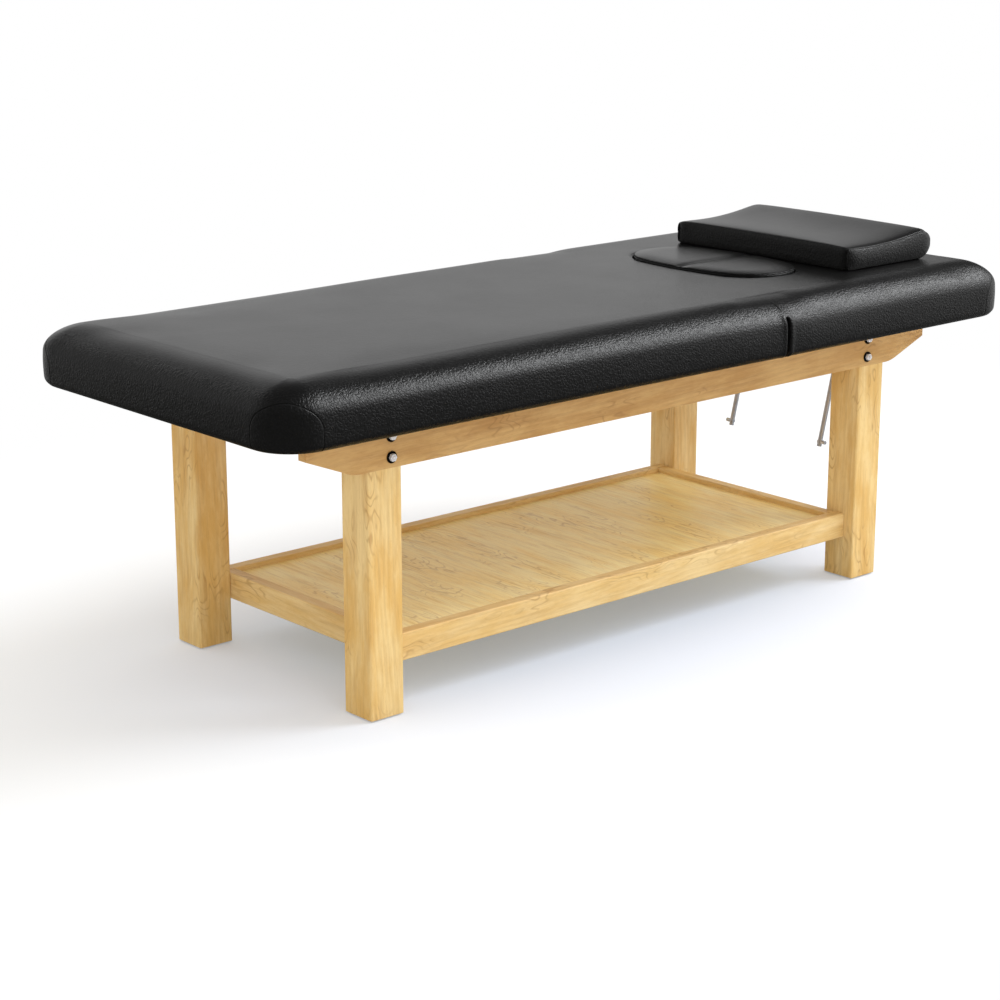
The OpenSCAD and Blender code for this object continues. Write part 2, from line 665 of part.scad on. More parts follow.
// Hinges: cranked leaves stand in the slit, on the boards' end edges, and meet in a
// knuckle just under the cover
knuckle_gap = 0.3;
knuckle_r = slit_w / 2 - knuckle_gap;
knuckle_l = hinge_w / 3;
leaf_rise = 1;
hinge_screw_l = 25;
hinge_screw_share = 0.3;
module at_hinges() for (i = [-1:1]) translate([hinge_x, i * (half_w - hinge_set), hinge_z]) children();
module at_hinge_screws(e) at_hinges() for (s = sides)
    translate([e * (slit_w / 2 - leaf_t), s * hinge_screw_share * hinge_w,
               frame_h + board_t / 2 - hinge_z])
        rotate([0, -90 * e, 0]) children();
// Stretch of hinge line from y0 to y1, as a round bar
module barrel(y0, y1, r) translate([0, y1, 0]) rotate([90, 0, 0]) cylinder(h = y1 - y0, r = r);
module leaf_plate(e) translate([e < 0 ? -slit_w / 2 : slit_w / 2 - leaf_t, -hinge_w / 2,
                                frame_h + leaf_rise - hinge_z])
    cube([leaf_t, hinge_w, hinge_z - frame_h - leaf_rise]);
module knuckle_room(y0, y1) translate([-slit_w, y0, -knuckle_r - knuckle_gap])
    cube([2 * slit_w, y1 - y0, slit_w]);
module hinge_leaf_main() color(steel) difference() {
    at_hinges() difference() {
        union() {
            leaf_plate(-1);
            barrel(-hinge_w / 2, -knuckle_l / 2 - knuckle_gap, knuckle_r);
            barrel(knuckle_l / 2 + knuckle_gap, hinge_w / 2, knuckle_r);
        }
        knuckle_room(-knuckle_l / 2 - knuckle_gap, knuckle_l / 2 + knuckle_gap);
        barrel(-hinge_w, hinge_w, hinge_pin_d / 2 + running_gap);
    }
    at_hinge_screws(-1) screw_hole(hinge_screw_l);
}
module hinge_leaf_back() color(steel) difference() {
    at_hinges() difference() {
        union() {
            leaf_plate(1);
            barrel(-knuckle_l / 2, knuckle_l / 2, knuckle_r);
        }
        for (s = sides) knuckle_room(s < 0 ? -hinge_w : knuckle_l / 2, s < 0 ? -knuckle_l / 2 : hinge_w);
        barrel(-hinge_w, hinge_w, hinge_pin_d / 2 + running_gap);
    }
    at_hinge_screws(1) screw_hole(hinge_screw_l);
}
module hinge_pins() color(steel) at_hinges() barrel(-hinge_w / 2, hinge_w / 2, hinge_pin_d / 2);
module hinge_screws_main() color(steel) at_hinge_screws(-1) screw(hinge_screw_l);
module hinge_screws_back() color(steel) at_hinge_screws(1) screw(hinge_screw_l);

// Ledges under the backrest board carry the face plug at the hole's long edges
ledge_t = 10;
ledge_out = 20;
ledge_w_share = 0.67;
ledge_screw_l = 20;
ledge_half_w = ledge_w_share * (bearer_cy - bearer_t / 2);
module at_ledges() for (e = ends)
    translate([plug_x + e * (hole_l / 2 + (ledge_out - ledge_in) / 2), 0, 0]) children();
module at_ledge_screws() for (e = ends, s = sides)
    translate([plug_x + e * (hole_l + ledge_out) / 2, s * ledge_half_w * 0.7, frame_h - ledge_t])
        rotate([180, 0, 0]) children();
module plug_ledges() color(plywood) difference() {
    at_ledges() translate([-(ledge_out + ledge_in) / 2, -ledge_half_w, frame_h - ledge_t])
        cube([ledge_out + ledge_in, 2 * ledge_half_w, ledge_t]);
    at_ledge_screws() screw_hole(ledge_screw_l);
}
module ledge_screws() color(steel) at_ledge_screws() screw(ledge_screw_l);

// Angle clips hold the main board on the foot and main cross rails
clip_w = 30;
clip_leg = 25;
clip_t = 2.5;
clip_y = 120;
clip_screw_l = 14;
module at_clips() for (x = [leg_x(-1) + cross_t / 2, main_cross_x + cross_t / 2], s = sides)
    translate([x, s * clip_y, frame_h]) children();
module at_clip_board_screw() translate([clip_t + clip_leg / 2, 0, -clip_t])
    rotate([180, 0, 0]) children();
module at_clip_rail_screw() translate([clip_t, 0, -clip_t - clip_leg / 2])
    rotate([0, 90, 0]) children();
module board_clips() color(steel) difference() {
    at_clips() {
        translate([0, -clip_w / 2, -clip_t]) cube([clip_t + clip_leg, clip_w, clip_t]);
        translate([0, -clip_w / 2, -clip_t - clip_leg]) cube([clip_t, clip_w, clip_leg]);
    }
    at_clips() {
        at_clip_board_screw() screw_hole(clip_screw_l);
        at_clip_rail_screw() screw_hole(clip_screw_l);
    }
}
module clip_screws() color(steel) at_clips() {
    at_clip_board_screw() screw(clip_screw_l);
    at_clip_rail_screw() screw(clip_screw_l);
}

// Tray: a rail frame between the legs, with a panel dropped in on cleats and bars
tray_out_y = half_frame - tray_inset;
tray_in_y = tray_out_y - tray_t;
tray_foot_x = leg_in_x(-1);
tray_head_x = leg_in_x(1);
panel_z = tray_z + tray_h - lip_h - panel_t;
cleat_z = panel_z - cleat_w;
cleat_end_gap = 30;
tray_screw_l = 55;
tray_screw_shares = [0.25, 0.52];
tray_dowel_shares = [0.3, 0.7];
cleat_screw_l = 36;
cleat_screw_shares = [0.06, 0.35, 0.65, 0.94];
cross_bar_shares = [1 / 3, 2 / 3];
module at_tray_dowels(e, s) for (share = tray_dowel_shares)
    translate([leg_in_x(e), s * (tray_in_y + tray_t / 2), tray_z + share * tray_h])
        rotate([0, 90, 0]) children();
module at_tray_screws(e, s) for (share = tray_screw_shares)
    translate([leg_in_x(e) - e * tray_t, s * (leg_in_y + tray_in_y) / 2, tray_z + share * tray_h])
        rotate([0, -90 * e, 0]) children();
cleat_foot_x = tray_foot_x + tray_t + cleat_end_gap;
cleat_head_x = tray_head_x - tray_t - cleat_end_gap;
module at_cleat_screws(s) for (share = cleat_screw_shares)
    translate([cleat_foot_x + share * (cleat_head_x - cleat_foot_x), s * (tray_in_y - cleat_w),
               cleat_z + cleat_w / 2])
        rotate([90 * s, 0, 0]) children();
module tray_rail(s) color(wood) difference() {
    bar_x(tray_foot_x, tray_head_x, s * (tray_in_y + tray_t / 2), tray_z, tray_t, tray_h);
    for (e = ends) at_tray_dowels(e, s) dowel_hole();
    at_cleat_screws(s) screw_hole(cleat_screw_l);
}
module tray_end(e) color(wood) difference() {
    bar_y(leg_in_x(e) - e * tray_t / 2, tray_in_y, tray_z, tray_t, tray_h);
    for (s = sides) at_tray_screws(e, s) screw_hole(tray_screw_l);
}
module tray_cleats() color(wood) for (s = sides) difference() {
    bar_x(cleat_foot_x, cleat_head_x, s * (tray_in_y - cleat_w / 2), cleat_z, cleat_w, cleat_w);
    at_cleat_screws(s) screw_hole(cleat_screw_l);
}
module tray_cross_bars() color(wood) for (share = cross_bar_shares)
    bar_y(tray_foot_x + share * (tray_head_x - tray_foot_x), tray_in_y - cleat_w,
          cleat_z, 2 * cleat_w, cleat_w);
module shelf_panel() color(plywood)
    translate([tray_foot_x + tray_t, -tray_in_y, panel_z])
        cube([tray_head_x - tray_foot_x - 2 * tray_t, 2 * tray_in_y, panel_t]);
module tray_dowels() color(wood) for (e = ends, s = sides) at_tray_dowels(e, s) dowel();
module tray_screws() color(steel) for (e = ends, s = sides) at_tray_screws(e, s) screw(tray_screw_l);
module cleat_screws() color(steel) for (s = sides) at_cleat_screws(s) screw(cleat_screw_l);

leg(-1, -1);  // leg_foot_near
leg(-1, 1);  // leg_foot_far
leg(1, -1);  // leg_head_near
leg(1, 1);  // leg_head_far
leg_glides();
side_rail(-1);  // side_rail_near
side_rail(1);  // side_rail_far
foot_cross_rail();
main_cross_rail();
mid_cross_rail();
head_cross_rail();
bearer(-1);  // bearer_near
bearer(1);  // bearer_far
rack(-1);  // rack_near
rack(1);  // rack_far
rack_screws();
bearer_screws();
rail_bolts();
rail_washers();
rail_inserts();
frame_dowels();
tray_rail(-1);  // tray_rail_near
tray_rail(1);  // tray_rail_far
tray_end(-1);  // tray_end_foot
tray_end(1);  // tray_end_head
tray_cleats();
tray_cross_bars();
shelf_panel();
tray_dowels();
tray_screws();
cleat_screws();
main_board();
main_pad();
board_clips();
clip_screws();
cover_strip();
hinge_leaf_main();
hinge_pins();
hinge_screws_main();
hinge_leaf_back();
hinge_screws_back();
backrest_board();
backrest_pad();
plug_ledges();
ledge_screws();
prop_brackets();
bracket_screws();
prop_bail();
prop_pegs();
plug_board();
plug_pad();
pillow();
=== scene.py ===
import math

import bmesh
import bpy
import numpy as np
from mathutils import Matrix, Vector


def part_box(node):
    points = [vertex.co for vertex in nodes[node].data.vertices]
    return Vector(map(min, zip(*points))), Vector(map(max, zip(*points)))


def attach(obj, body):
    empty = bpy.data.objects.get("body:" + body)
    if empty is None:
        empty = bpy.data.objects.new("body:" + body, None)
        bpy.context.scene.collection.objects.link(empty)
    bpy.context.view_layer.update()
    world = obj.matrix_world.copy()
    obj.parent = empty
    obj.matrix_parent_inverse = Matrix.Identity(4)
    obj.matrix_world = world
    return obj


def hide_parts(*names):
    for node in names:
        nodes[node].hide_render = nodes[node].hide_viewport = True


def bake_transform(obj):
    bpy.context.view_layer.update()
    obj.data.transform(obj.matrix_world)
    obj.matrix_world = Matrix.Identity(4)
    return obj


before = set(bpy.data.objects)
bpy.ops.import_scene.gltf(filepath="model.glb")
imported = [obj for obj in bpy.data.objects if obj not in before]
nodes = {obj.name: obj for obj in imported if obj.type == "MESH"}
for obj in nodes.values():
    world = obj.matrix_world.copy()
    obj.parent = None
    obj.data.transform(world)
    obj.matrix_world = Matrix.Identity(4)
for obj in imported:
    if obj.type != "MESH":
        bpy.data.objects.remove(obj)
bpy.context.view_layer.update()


# Camera
# One level camera stands off the foot end's near corner and looks down along the couch.
# The long lens keeps the sides nearly parallel.
tilt_down, heading = 15.47, -41.31
camera_data = bpy.data.cameras.new("studio_camera")
camera_data.sensor_width = 36
camera_data.lens = 86.07
camera = bpy.data.objects.new("studio_camera", camera_data)
camera.location = (-3.04075, -3.31076, 1.45457)
camera.rotation_euler = (math.radians(90 - tilt_down), 0, math.radians(heading))
bpy.context.scene.collection.objects.link(camera)
bpy.context.scene.camera = camera


# Studio floor and light
# A white floor that runs out into a white room behind the couch, with a darker studio behind
# the camera. A big soft lamp hangs beyond the head end, with a fill lamp in the same place
# that nothing mirrors, and a weaker one stands at the near side.
def new_material(name):
    made = bpy.data.materials.new(name)
    made.use_nodes = True
    made.node_tree.nodes.clear()
    return made


def add(tree, kind, settings=None, **sockets):
    node = tree.nodes.new(kind)
    for key, value in (settings or {}).items():
        setattr(node, key, value)
    for key, value in sockets.items():
        socket = node.inputs[key.replace("_", " ")]
        if isinstance(value, bpy.types.NodeSocket):
            tree.links.new(value, socket)
        else:
            socket.default_value = value
    return node


def math_node(tree, operation, a, b=None, clamp=False):
    node = add(tree, "ShaderNodeMath", {"operation": operation, "use_clamp": clamp})
    for slot, value in enumerate((a, b)):
        if isinstance(value, bpy.types.NodeSocket):
            tree.links.new(value, node.inputs[slot])
        elif value is not None:
            node.inputs[slot].default_value = value
    return node.outputs[0]


def remap(tree, value, low, high, out_low=0.0, out_high=1.0):
    node = add(tree, "ShaderNodeMapRange", {"interpolation_type": "SMOOTHSTEP"}, Value=value,
               From_Min=low, From_Max=high, To_Min=out_low, To_Max=out_high)
    return node.outputs["Result"]


def leaning(tree, way, vector):
    node = add(tree, "ShaderNodeVectorMath", {"operation": "DOT_PRODUCT"}, Vector=vector)
    node.inputs[1].default_value = way
    return node.outputs["Value"]


def srgb(r, g, b):
    return tuple(c / 12.92 if c <= 0.04045 else ((c + 0.055) / 1.055) ** 2.4
                 for c in (r / 255, g / 255, b / 255)) + (1,)


def mesh_object(name, verts, faces, smooth=True):
    data = bpy.data.meshes.new(name)
    data.from_pydata([tuple(v) for v in verts], [], faces)
    data.update()
    if smooth:
        data.polygons.foreach_set("use_smooth", [True] * len(data.polygons))
    made = bpy.data.objects.new(name, data)
    bpy.context.scene.collection.objects.link(made)
    return made


floor_reach = 30
floor_corners = [(x * floor_reach, y * floor_reach, 0) for x, y in ((-1, -1), (1, -1), (1, 1), (-1, 1))]
floor = mesh_object("studio_floor", floor_corners, [(0, 1, 2, 3)], smooth=False)
floor_paint = new_material("studio_floor_paint")
tree = floor_paint.node_tree
place = add(tree, "ShaderNodeTexCoord").outputs["Object"]
drawn_in = add(tree, "ShaderNodeMapping", Vector=place, Scale=(0.6, 1, 1)).outputs["Vector"]
away = add(tree, "ShaderNodeVectorMath", {"operation": "LENGTH"}, Vector=drawn_in).outputs["Value"]

# The floor is bright in the cover's reflection only beyond the couch, and runs out to pure
# white round it, where it shows less and less of the shade. Even under the couch a share of
# it glows white, a painted light that lifts the cast shadow
beyond, leftward = (0.66, 0.75, 0), (-0.66, 0.75, 0)
shade_start, shade_end, shadow_lifting_glow = 0.62, 1.85, 0.24
backdrop_from, backdrop_share = 2.0, 0.70
path = add(tree, "ShaderNodeLightPath")
mirrored = math_node(tree, "MULTIPLY", path.outputs["Is Glossy Ray"],
                     remap(tree, leaning(tree, beyond, place), 0.0, backdrop_from, 0.0, backdrop_share))
seen = math_node(tree, "MAXIMUM", path.outputs["Is Camera Ray"], mirrored)
share = math_node(tree, "MULTIPLY", seen, remap(tree, away, shade_start, shade_end, shadow_lifting_glow, 1.0))
# Under the couch the floor is painted darker and bluer: painted shade that cancels the warm light off the
# wood
under_couch_shade = add(tree, "ShaderNodeMix", {"data_type": "RGBA"})
tree.links.new(remap(tree, away, 0.2, 0.8), under_couch_shade.inputs["Factor"])
under_couch_shade.inputs[6].default_value = (0.69, 0.77, 0.96, 1)
under_couch_shade.inputs[7].default_value = (0.91, 0.92, 0.97, 1)
pale = add(tree, "ShaderNodeBsdfDiffuse", Color=under_couch_shade.outputs[2])
# In reflections the floor shows dark grey, a painted dark reflection
dark_floor_reflection = add(tree, "ShaderNodeBsdfDiffuse", Color=(0.06, 0.06, 0.06, 1))
ground = add(tree, "ShaderNodeMixShader")
tree.links.new(path.outputs["Is Glossy Ray"], ground.inputs[0])
tree.links.new(pale.outputs[0], ground.inputs[1])
tree.links.new(dark_floor_reflection.outputs[0], ground.inputs[2])
white = add(tree, "ShaderNodeEmission", Color=(1, 1, 1, 1), Strength=1.0)
mixed = add(tree, "ShaderNodeMixShader")
tree.links.new(share, mixed.inputs[0])
tree.links.new(ground.outputs[0], mixed.inputs[1])
tree.links.new(white.outputs[0], mixed.inputs[2])
add(tree, "ShaderNodeOutputMaterial", Surface=mixed.outputs[0])
floor.data.materials.append(floor_paint)

room = bpy.data.worlds.new("white_room")
room.use_nodes = True
tree = room.node_tree
tree.nodes.clear()
path = add(tree, "ShaderNodeLightPath")
toward = add(tree, "ShaderNodeTexCoord").outputs["Generated"]
low = remap(tree, leaning(tree, (0, 0, 1), toward), 0.38, 0.55, 1.0, 0.0)
aside = remap(tree, leaning(tree, leftward, toward), -0.14, 0.02)
ahead = remap(tree, leaning(tree, beyond, toward), 0.55, 0.8, 0.0, 0.66)
backdrop = math_node(tree, "MULTIPLY", math_node(tree, "MULTIPLY", low, aside), ahead)
dark_room = 0.055
glow = math_node(tree, "ADD", backdrop, dark_room)
# Two pale patches of the room that show only in reflections: aim, rim and strength
for aim, rim, strength in (((-0.55, 0.72, 0.42), 0.88, 0.40), ((0.84, -0.42, 0.34), 0.66, 1.1)):
    glow = math_node(tree, "ADD", glow, remap(tree, leaning(tree, aim, toward), rim, 1.0, 0.0, strength))
plain = add(tree, "ShaderNodeBackground", Color=(1, 0.97, 0.88, 1), Strength=0.95)
mirrored = add(tree, "ShaderNodeBackground", Color=(1, 1, 1, 1), Strength=glow)
white = add(tree, "ShaderNodeBackground", Color=(1, 1, 1, 1), Strength=1.0)
first = add(tree, "ShaderNodeMixShader")
tree.links.new(path.outputs["Is Glossy Ray"], first.inputs[0])
tree.links.new(plain.outputs[0], first.inputs[1])
tree.links.new(mirrored.outputs[0], first.inputs[2])
second = add(tree, "ShaderNodeMixShader")
tree.links.new(path.outputs["Is Camera Ray"], second.inputs[0])
tree.links.new(first.outputs[0], second.inputs[1])
tree.links.new(white.outputs[0], second.inputs[2])
add(tree, "ShaderNodeOutputWorld", Surface=second.outputs[0])
bpy.context.scene.world = room
bpy.context.scene.view_settings.view_transform = "Standard"


def soft_lamp(name, place, aim, size, power, colour, mirrored=True):
    data = bpy.data.lights.new(name, "AREA")
    data.shape = "RECTANGLE"
    data.size, data.size_y = size
    data.energy = power
    data.color = colour
    lamp = bpy.data.objects.new(name, data)
    lamp.location = place
    lamp.rotation_euler = (Vector(aim) - Vector(place)).to_track_quat("-Z", "Y").to_euler()
    lamp.visible_glossy = mirrored
    bpy.context.scene.collection.objects.link(lamp)


beyond_head = dict(place=(5.0, -2.1, 5.4), aim=(0, 0, 0.4), size=(4.4, 3.3))
soft_lamp("head_lamp", power=275, colour=(0.97, 0.985, 1.0), **beyond_head)
soft_lamp("fill_lamp", power=150, colour=(0.80, 0.91, 1.0), mirrored=False, **beyond_head)
soft_lamp("side_lamp", (-2.0, -4.6, 3.4), (0, 0, 0.3), (3.4, 2.4), 43, (0.86, 0.94, 1.0), mirrored=False)


# Wood of the frame
# Solid blond hardwood, planed, eased at its edges and clear-lacquered. The growth rings run
# along each piece, so every stick has its own cut through the log.
def group_sockets(group, inputs, outputs):
    for name, kind, value in inputs:
        made = group.interface.new_socket(name=name, in_out="INPUT", socket_type=kind)
        if value is not None:
            made.default_value = value
    for name, kind in outputs:
        group.interface.new_socket(name=name, in_out="OUTPUT", socket_type=kind)
    return add(group, "NodeGroupInput"), add(group, "NodeGroupOutput")


def noise(tree, vector, scale, detail=2.0, roughness=0.5):
    node = add(tree, "ShaderNodeTexNoise", {"noise_dimensions": "3D"}, Vector=vector, Scale=scale,
               Detail=detail, Roughness=roughness)
    return node.outputs["Fac"]


def stretched(tree, vector, scale, shift=(0, 0, 0)):
    return add(tree, "ShaderNodeMapping", Vector=vector, Scale=scale, Location=shift).outputs["Vector"]


wood_grain = bpy.data.node_groups.new("wood_grain", "ShaderNodeTree")
entry, leave = group_sockets(wood_grain, [("Vector", "NodeSocketVector", None),
                                          ("Ring Scale", "NodeSocketFloat", 1.0),
                                          ("Figure", "NodeSocketFloat", 1.0)],
                             [("Rings", "NodeSocketFloat"), ("Fibres", "NodeSocketFloat"),
                              ("Flecks", "NodeSocketFloat"), ("Clouds", "NodeSocketFloat"),
                              ("Figures", "NodeSocketFloat"),
                              ("Height", "NodeSocketFloat")])
along = entry.outputs["Vector"]


def along_grain(scale, detail=2.0, roughness=0.5, shift=(0, 0, 0)):
    return noise(wood_grain, stretched(wood_grain, along, scale, shift), 1.0, detail, roughness)


def product(a, b):
    return math_node(wood_grain, "MULTIPLY", a, b)


# Growth rings round the pith, pushed about by a slow sway, and strong in patches only
rings_per_metre = 150.0
sway = math_node(wood_grain, "SUBTRACT", along_grain((2.2, 9, 9), 3.0), 0.5)
sway = product(sway, product(entry.outputs["Figure"], 0.05))
parts = add(wood_grain, "ShaderNodeSeparateXYZ", Vector=along)
y2 = math_node(wood_grain, "POWER", parts.outputs["Y"], 2.0)
z2 = math_node(wood_grain, "POWER", parts.outputs["Z"], 2.0)
radius = math_node(wood_grain, "SQRT", math_node(wood_grain, "ADD", y2, z2))
radius = math_node(wood_grain, "ADD", radius, sway)
turns = product(radius, product(entry.outputs["Ring Scale"], rings_per_metre))
uneven = product(along_grain((1, 30, 30)), 0.7)
ring = math_node(wood_grain, "FRACT", math_node(wood_grain, "ADD", turns, uneven))
late = product(remap(wood_grain, ring, 0.1, 0.85), remap(wood_grain, ring, 0.86, 1.0, 1.0, 0.0))
late = product(late, remap(wood_grain, along_grain((2.5, 30, 30)), 0.4, 0.62))

# Fibres, dark flecks, clouds of paler and darker wood, and long arched figure lines
fibres = math_node(wood_grain, "ADD", product(along_grain((7, 420, 420), 4.0, 0.7), 0.45),
                   product(along_grain((7, 125, 125), 3.0, 0.65), 0.55))
flecks = remap(wood_grain, along_grain((75, 1500, 1500), 1.0), 0.64, 0.76)
clouds = along_grain((5, 21, 21), 5.0, 0.68)
line_count = 15.0
contour = product(along_grain((6, 22, 22), 2.0, 0.45), line_count)
contour = math_node(wood_grain, "SUBTRACT", math_node(wood_grain, "FRACT", contour), 0.5)
contour = math_node(wood_grain, "ABSOLUTE", contour)
where = remap(wood_grain, along_grain((6, 18, 18), shift=(3, 7, 1)), 0.5, 0.66)
figures = product(remap(wood_grain, contour, 0.0, 0.2, 1.0, 0.0), where)
height = math_node(wood_grain, "ADD", product(fibres, 0.6), product(late, 0.3))
height = math_node(wood_grain, "SUBTRACT", height, product(flecks, 0.8))
for key, socket in (("Rings", late), ("Fibres", fibres), ("Flecks", flecks), ("Clouds", clouds),
                    ("Figures", figures), ("Height", height)):
    wood_grain.links.new(socket, leave.inputs[key])

turn_to_grain = {"x": (0, 0, 0), "y": (0, 0, math.radians(-90)), "z": (0, math.radians(90), 0)}
off_true = (0, 0.035, 0.028)


def layered(tree, base, tint, mask, strength):
    amount = math_node(tree, "MULTIPLY", mask, strength, clamp=True)
    node = add(tree, "ShaderNodeMix", {"data_type": "RGBA"})
    tree.links.new(amount, node.inputs["Factor"])
    for slot, value in ((6, base), (7, tint)):
        if isinstance(value, bpy.types.NodeSocket):
            tree.links.new(value, node.inputs[slot])
        else:
            node.inputs[slot].default_value = value
    return node.outputs[2]


def wood(name, grain, pith, light, mid, dark, ring_scale=0.7, figure=1.0, roughness=0.42,
         ring_depth=0.14, figure_depth=0.5):
    made = new_material(name)
    tree = made.node_tree
    place = add(tree, "ShaderNodeTexCoord").outputs["Object"]
    turned = add(tree, "ShaderNodeMapping", Vector=place, Rotation=turn_to_grain[grain]).outputs["Vector"]
    cut = add(tree, "ShaderNodeMapping", Vector=turned, Location=pith,
              Rotation=off_true).outputs["Vector"]
    found = add(tree, "ShaderNodeGroup", {"node_tree": wood_grain}, Vector=cut, Ring_Scale=ring_scale,
                Figure=figure).outputs
    colour = layered(tree, light, mid, remap(tree, found["Clouds"], 0.34, 0.66), 1.0)
    colour = layered(tree, colour, dark, found["Rings"], ring_depth)
    colour = layered(tree, colour, dark, remap(tree, found["Fibres"], 0.44, 0.64), 0.22)
    colour = layered(tree, colour, dark, found["Flecks"], 0.3)
    colour = layered(tree, colour, dark, found["Figures"], figure_depth)
    bump = add(tree, "ShaderNodeBump", Height=found["Height"], Strength=0.12, Distance=0.0006)
    sheen = remap(tree, found["Fibres"], 0.2, 0.8, roughness - 0.05, roughness + 0.08)
    shader = add(tree, "ShaderNodeBsdfPrincipled", Base_Color=colour, Roughness=sheen,
                 Normal=bump.outputs["Normal"], IOR=1.45)
    add(tree, "ShaderNodeOutputMaterial", Surface=shader.outputs[0])
    return made


def dress(material, *names):
    for name in names:
        nodes[name].data.materials.clear()
        nodes[name].data.materials.append(material)


blond, honey, amber = srgb(236, 205, 143), srgb(223, 179, 103), srgb(168, 114, 54)
for leg, pith in (("leg_foot_near", (0.3, 0.13, 0.02)), ("leg_foot_far", (1.7, 0.09, -0.16)),
                  ("leg_head_near", (2.9, -0.15, 0.10)), ("leg_head_far", (4.1, 0.12, 0.12))):
    dress(wood(leg + "_wood", "z", pith, blond, honey, amber), leg)


# Leg glides
# Nylon discs, nailed into the end grain under each leg, that keep the wood off a wet floor.
def moulded(name, colour, roughness):
    made = new_material(name)
    tree = made.node_tree
    place = add(tree, "ShaderNodeTexCoord").outputs["Object"]
    mottle = noise(tree, place, 90.0, 3.0)
    shade = layered(tree, colour, tuple(c * 1.7 for c in colour[:3]) + (1,), mottle, 0.5)
    bump = add(tree, "ShaderNodeBump", Height=noise(tree, place, 2200.0, 2.0), Strength=0.05,
               Distance=0.0004)
    shader = add(tree, "ShaderNodeBsdfPrincipled", Base_Color=shade,
                 Roughness=remap(tree, mottle, 0.2, 0.8, roughness - 0.08, roughness + 0.1),
                 Normal=bump.outputs["Normal"])
    add(tree, "ShaderNodeOutputMaterial", Surface=shader.outputs[0])
    return made


dress(moulded("glide_nylon", srgb(92, 86, 78), 0.5), "leg_glides")


# Side rails
# Long boards let in flush with the legs' outer faces, each tip cut back on a slope below.
# The rails' wood is painted darker than the legs': painted shade for the mattress's overhang above them.
rail_wood_painted_shade = dict(light=srgb(210, 168, 106), mid=srgb(190, 143, 80), dark=srgb(140, 94, 46),
                 figure_depth=0.4)
dress(wood("side_rail_near_wood", "x", (0.6, 0.05, 0.17), **rail_wood_painted_shade), "side_rail_near")
dress(wood("side_rail_far_wood", "x", (2.2, 0.08, -0.15), **rail_wood_painted_shade), "side_rail_far")


# Cross rails and bearers
# Rails dowelled between the legs and the side rails, and two bearers for the notched racks.
# They take the side rails' darker colour, painted shade for the mattress's overhang.
dress(wood("cross_rail_wood", "y", (1.1, 0.12, 0.06), **rail_wood_painted_shade),
      "foot_cross_rail", "main_cross_rail", "mid_cross_rail", "head_cross_rail")
dress(wood("bearer_wood", "x", (3.1, -0.10, 0.08), **rail_wood_painted_shade), "bearer_near", "bearer_far")
dress(wood("dowel_wood", "y", (0.2, 0.1, 0.1), **rail_wood_painted_shade), "frame_dowels", "tray_dowels")


# Storage tray
# A frame of four rails between the legs, with cleats and cross bars that carry a veneered
# shelf panel. The veneer is flat-cut, laid across the table, so it shows long arched figures.
tray_wood = dict(light=srgb(237, 207, 148), mid=srgb(226, 186, 116), dark=srgb(168, 116, 54))
dress(wood("tray_rail_near_wood", "x", (0.2, 0.10, 0.11), **tray_wood), "tray_rail_near")
dress(wood("tray_rail_far_wood", "x", (2.6, -0.12, 0.09), **tray_wood), "tray_rail_far")
dress(wood("tray_end_foot_wood", "y", (1.4, 0.11, 0.07), **tray_wood), "tray_end_foot")
dress(wood("tray_end_head_wood", "y", (3.3, -0.11, 0.10), **tray_wood), "tray_end_head")
dress(wood("tray_cleat_wood", "x", (0.9, 0.2, 0.1), **tray_wood), "tray_cleats")
dress(wood("tray_bar_wood", "y", (0.4, 0.2, 0.1), **tray_wood), "tray_cross_bars")
dress(wood("shelf_veneer", "y", (0.5, 0.02, -0.04), srgb(255, 236, 176), srgb(251, 220, 142),
           srgb(158, 98, 34), ring_scale=0.3, figure=3.2, roughness=0.38, ring_depth=0.04,
           figure_depth=0.34), "shelf_panel")


# Boards under the foam
# Bare birch plywood, paler and duller than the frame, under both sections and the plug. The
# ledges that the plug sits on are cut from it too.
plywood = wood("birch_plywood", "x", (0.0, 0.3, 0.4), srgb(226, 204, 166), srgb(214, 188, 146),
               srgb(180, 146, 104), ring_scale=0.4, figure=2.0, roughness=0.6)
dress(plywood, "main_board", "backrest_board", "plug_board", "plug_ledges")


# Bolts, screws, hinges and racks
# Zinc-plated steel with brushed streaks. The rail bolts get a paler, less metallic plate than the hidden
# fittings, a painted highlight on their ends, and their washers are blackened.
def metal(name, colour, roughness, streak, metallic=1.0, blotched=0.55):
    made = new_material(name)
    tree = made.node_tree
    place = add(tree, "ShaderNodeTexCoord").outputs["Object"]
    brushed = noise(tree, stretched(tree, place, streak), 1.0, 3.0, 0.6)
    blotch = noise(tree, place, 160.0, 3.0)
    shade = layered(tree, colour, tuple(c * 0.62 for c in colour[:3]) + (1,), blotch, blotched)
    bump = add(tree, "ShaderNodeBump", Height=brushed, Strength=0.1, Distance=0.0002)
    shader = add(tree, "ShaderNodeBsdfPrincipled", Base_Color=shade, Metallic=metallic,
                 Roughness=remap(tree, brushed, 0.25, 0.75, roughness - 0.07, roughness + 0.1),
                 Normal=bump.outputs["Normal"])
    add(tree, "ShaderNodeOutputMaterial", Surface=shader.outputs[0])
    return made


zinc = metal("zinc_plate", srgb(222, 220, 220), 0.28, (300, 300, 2500), metallic=0.7)
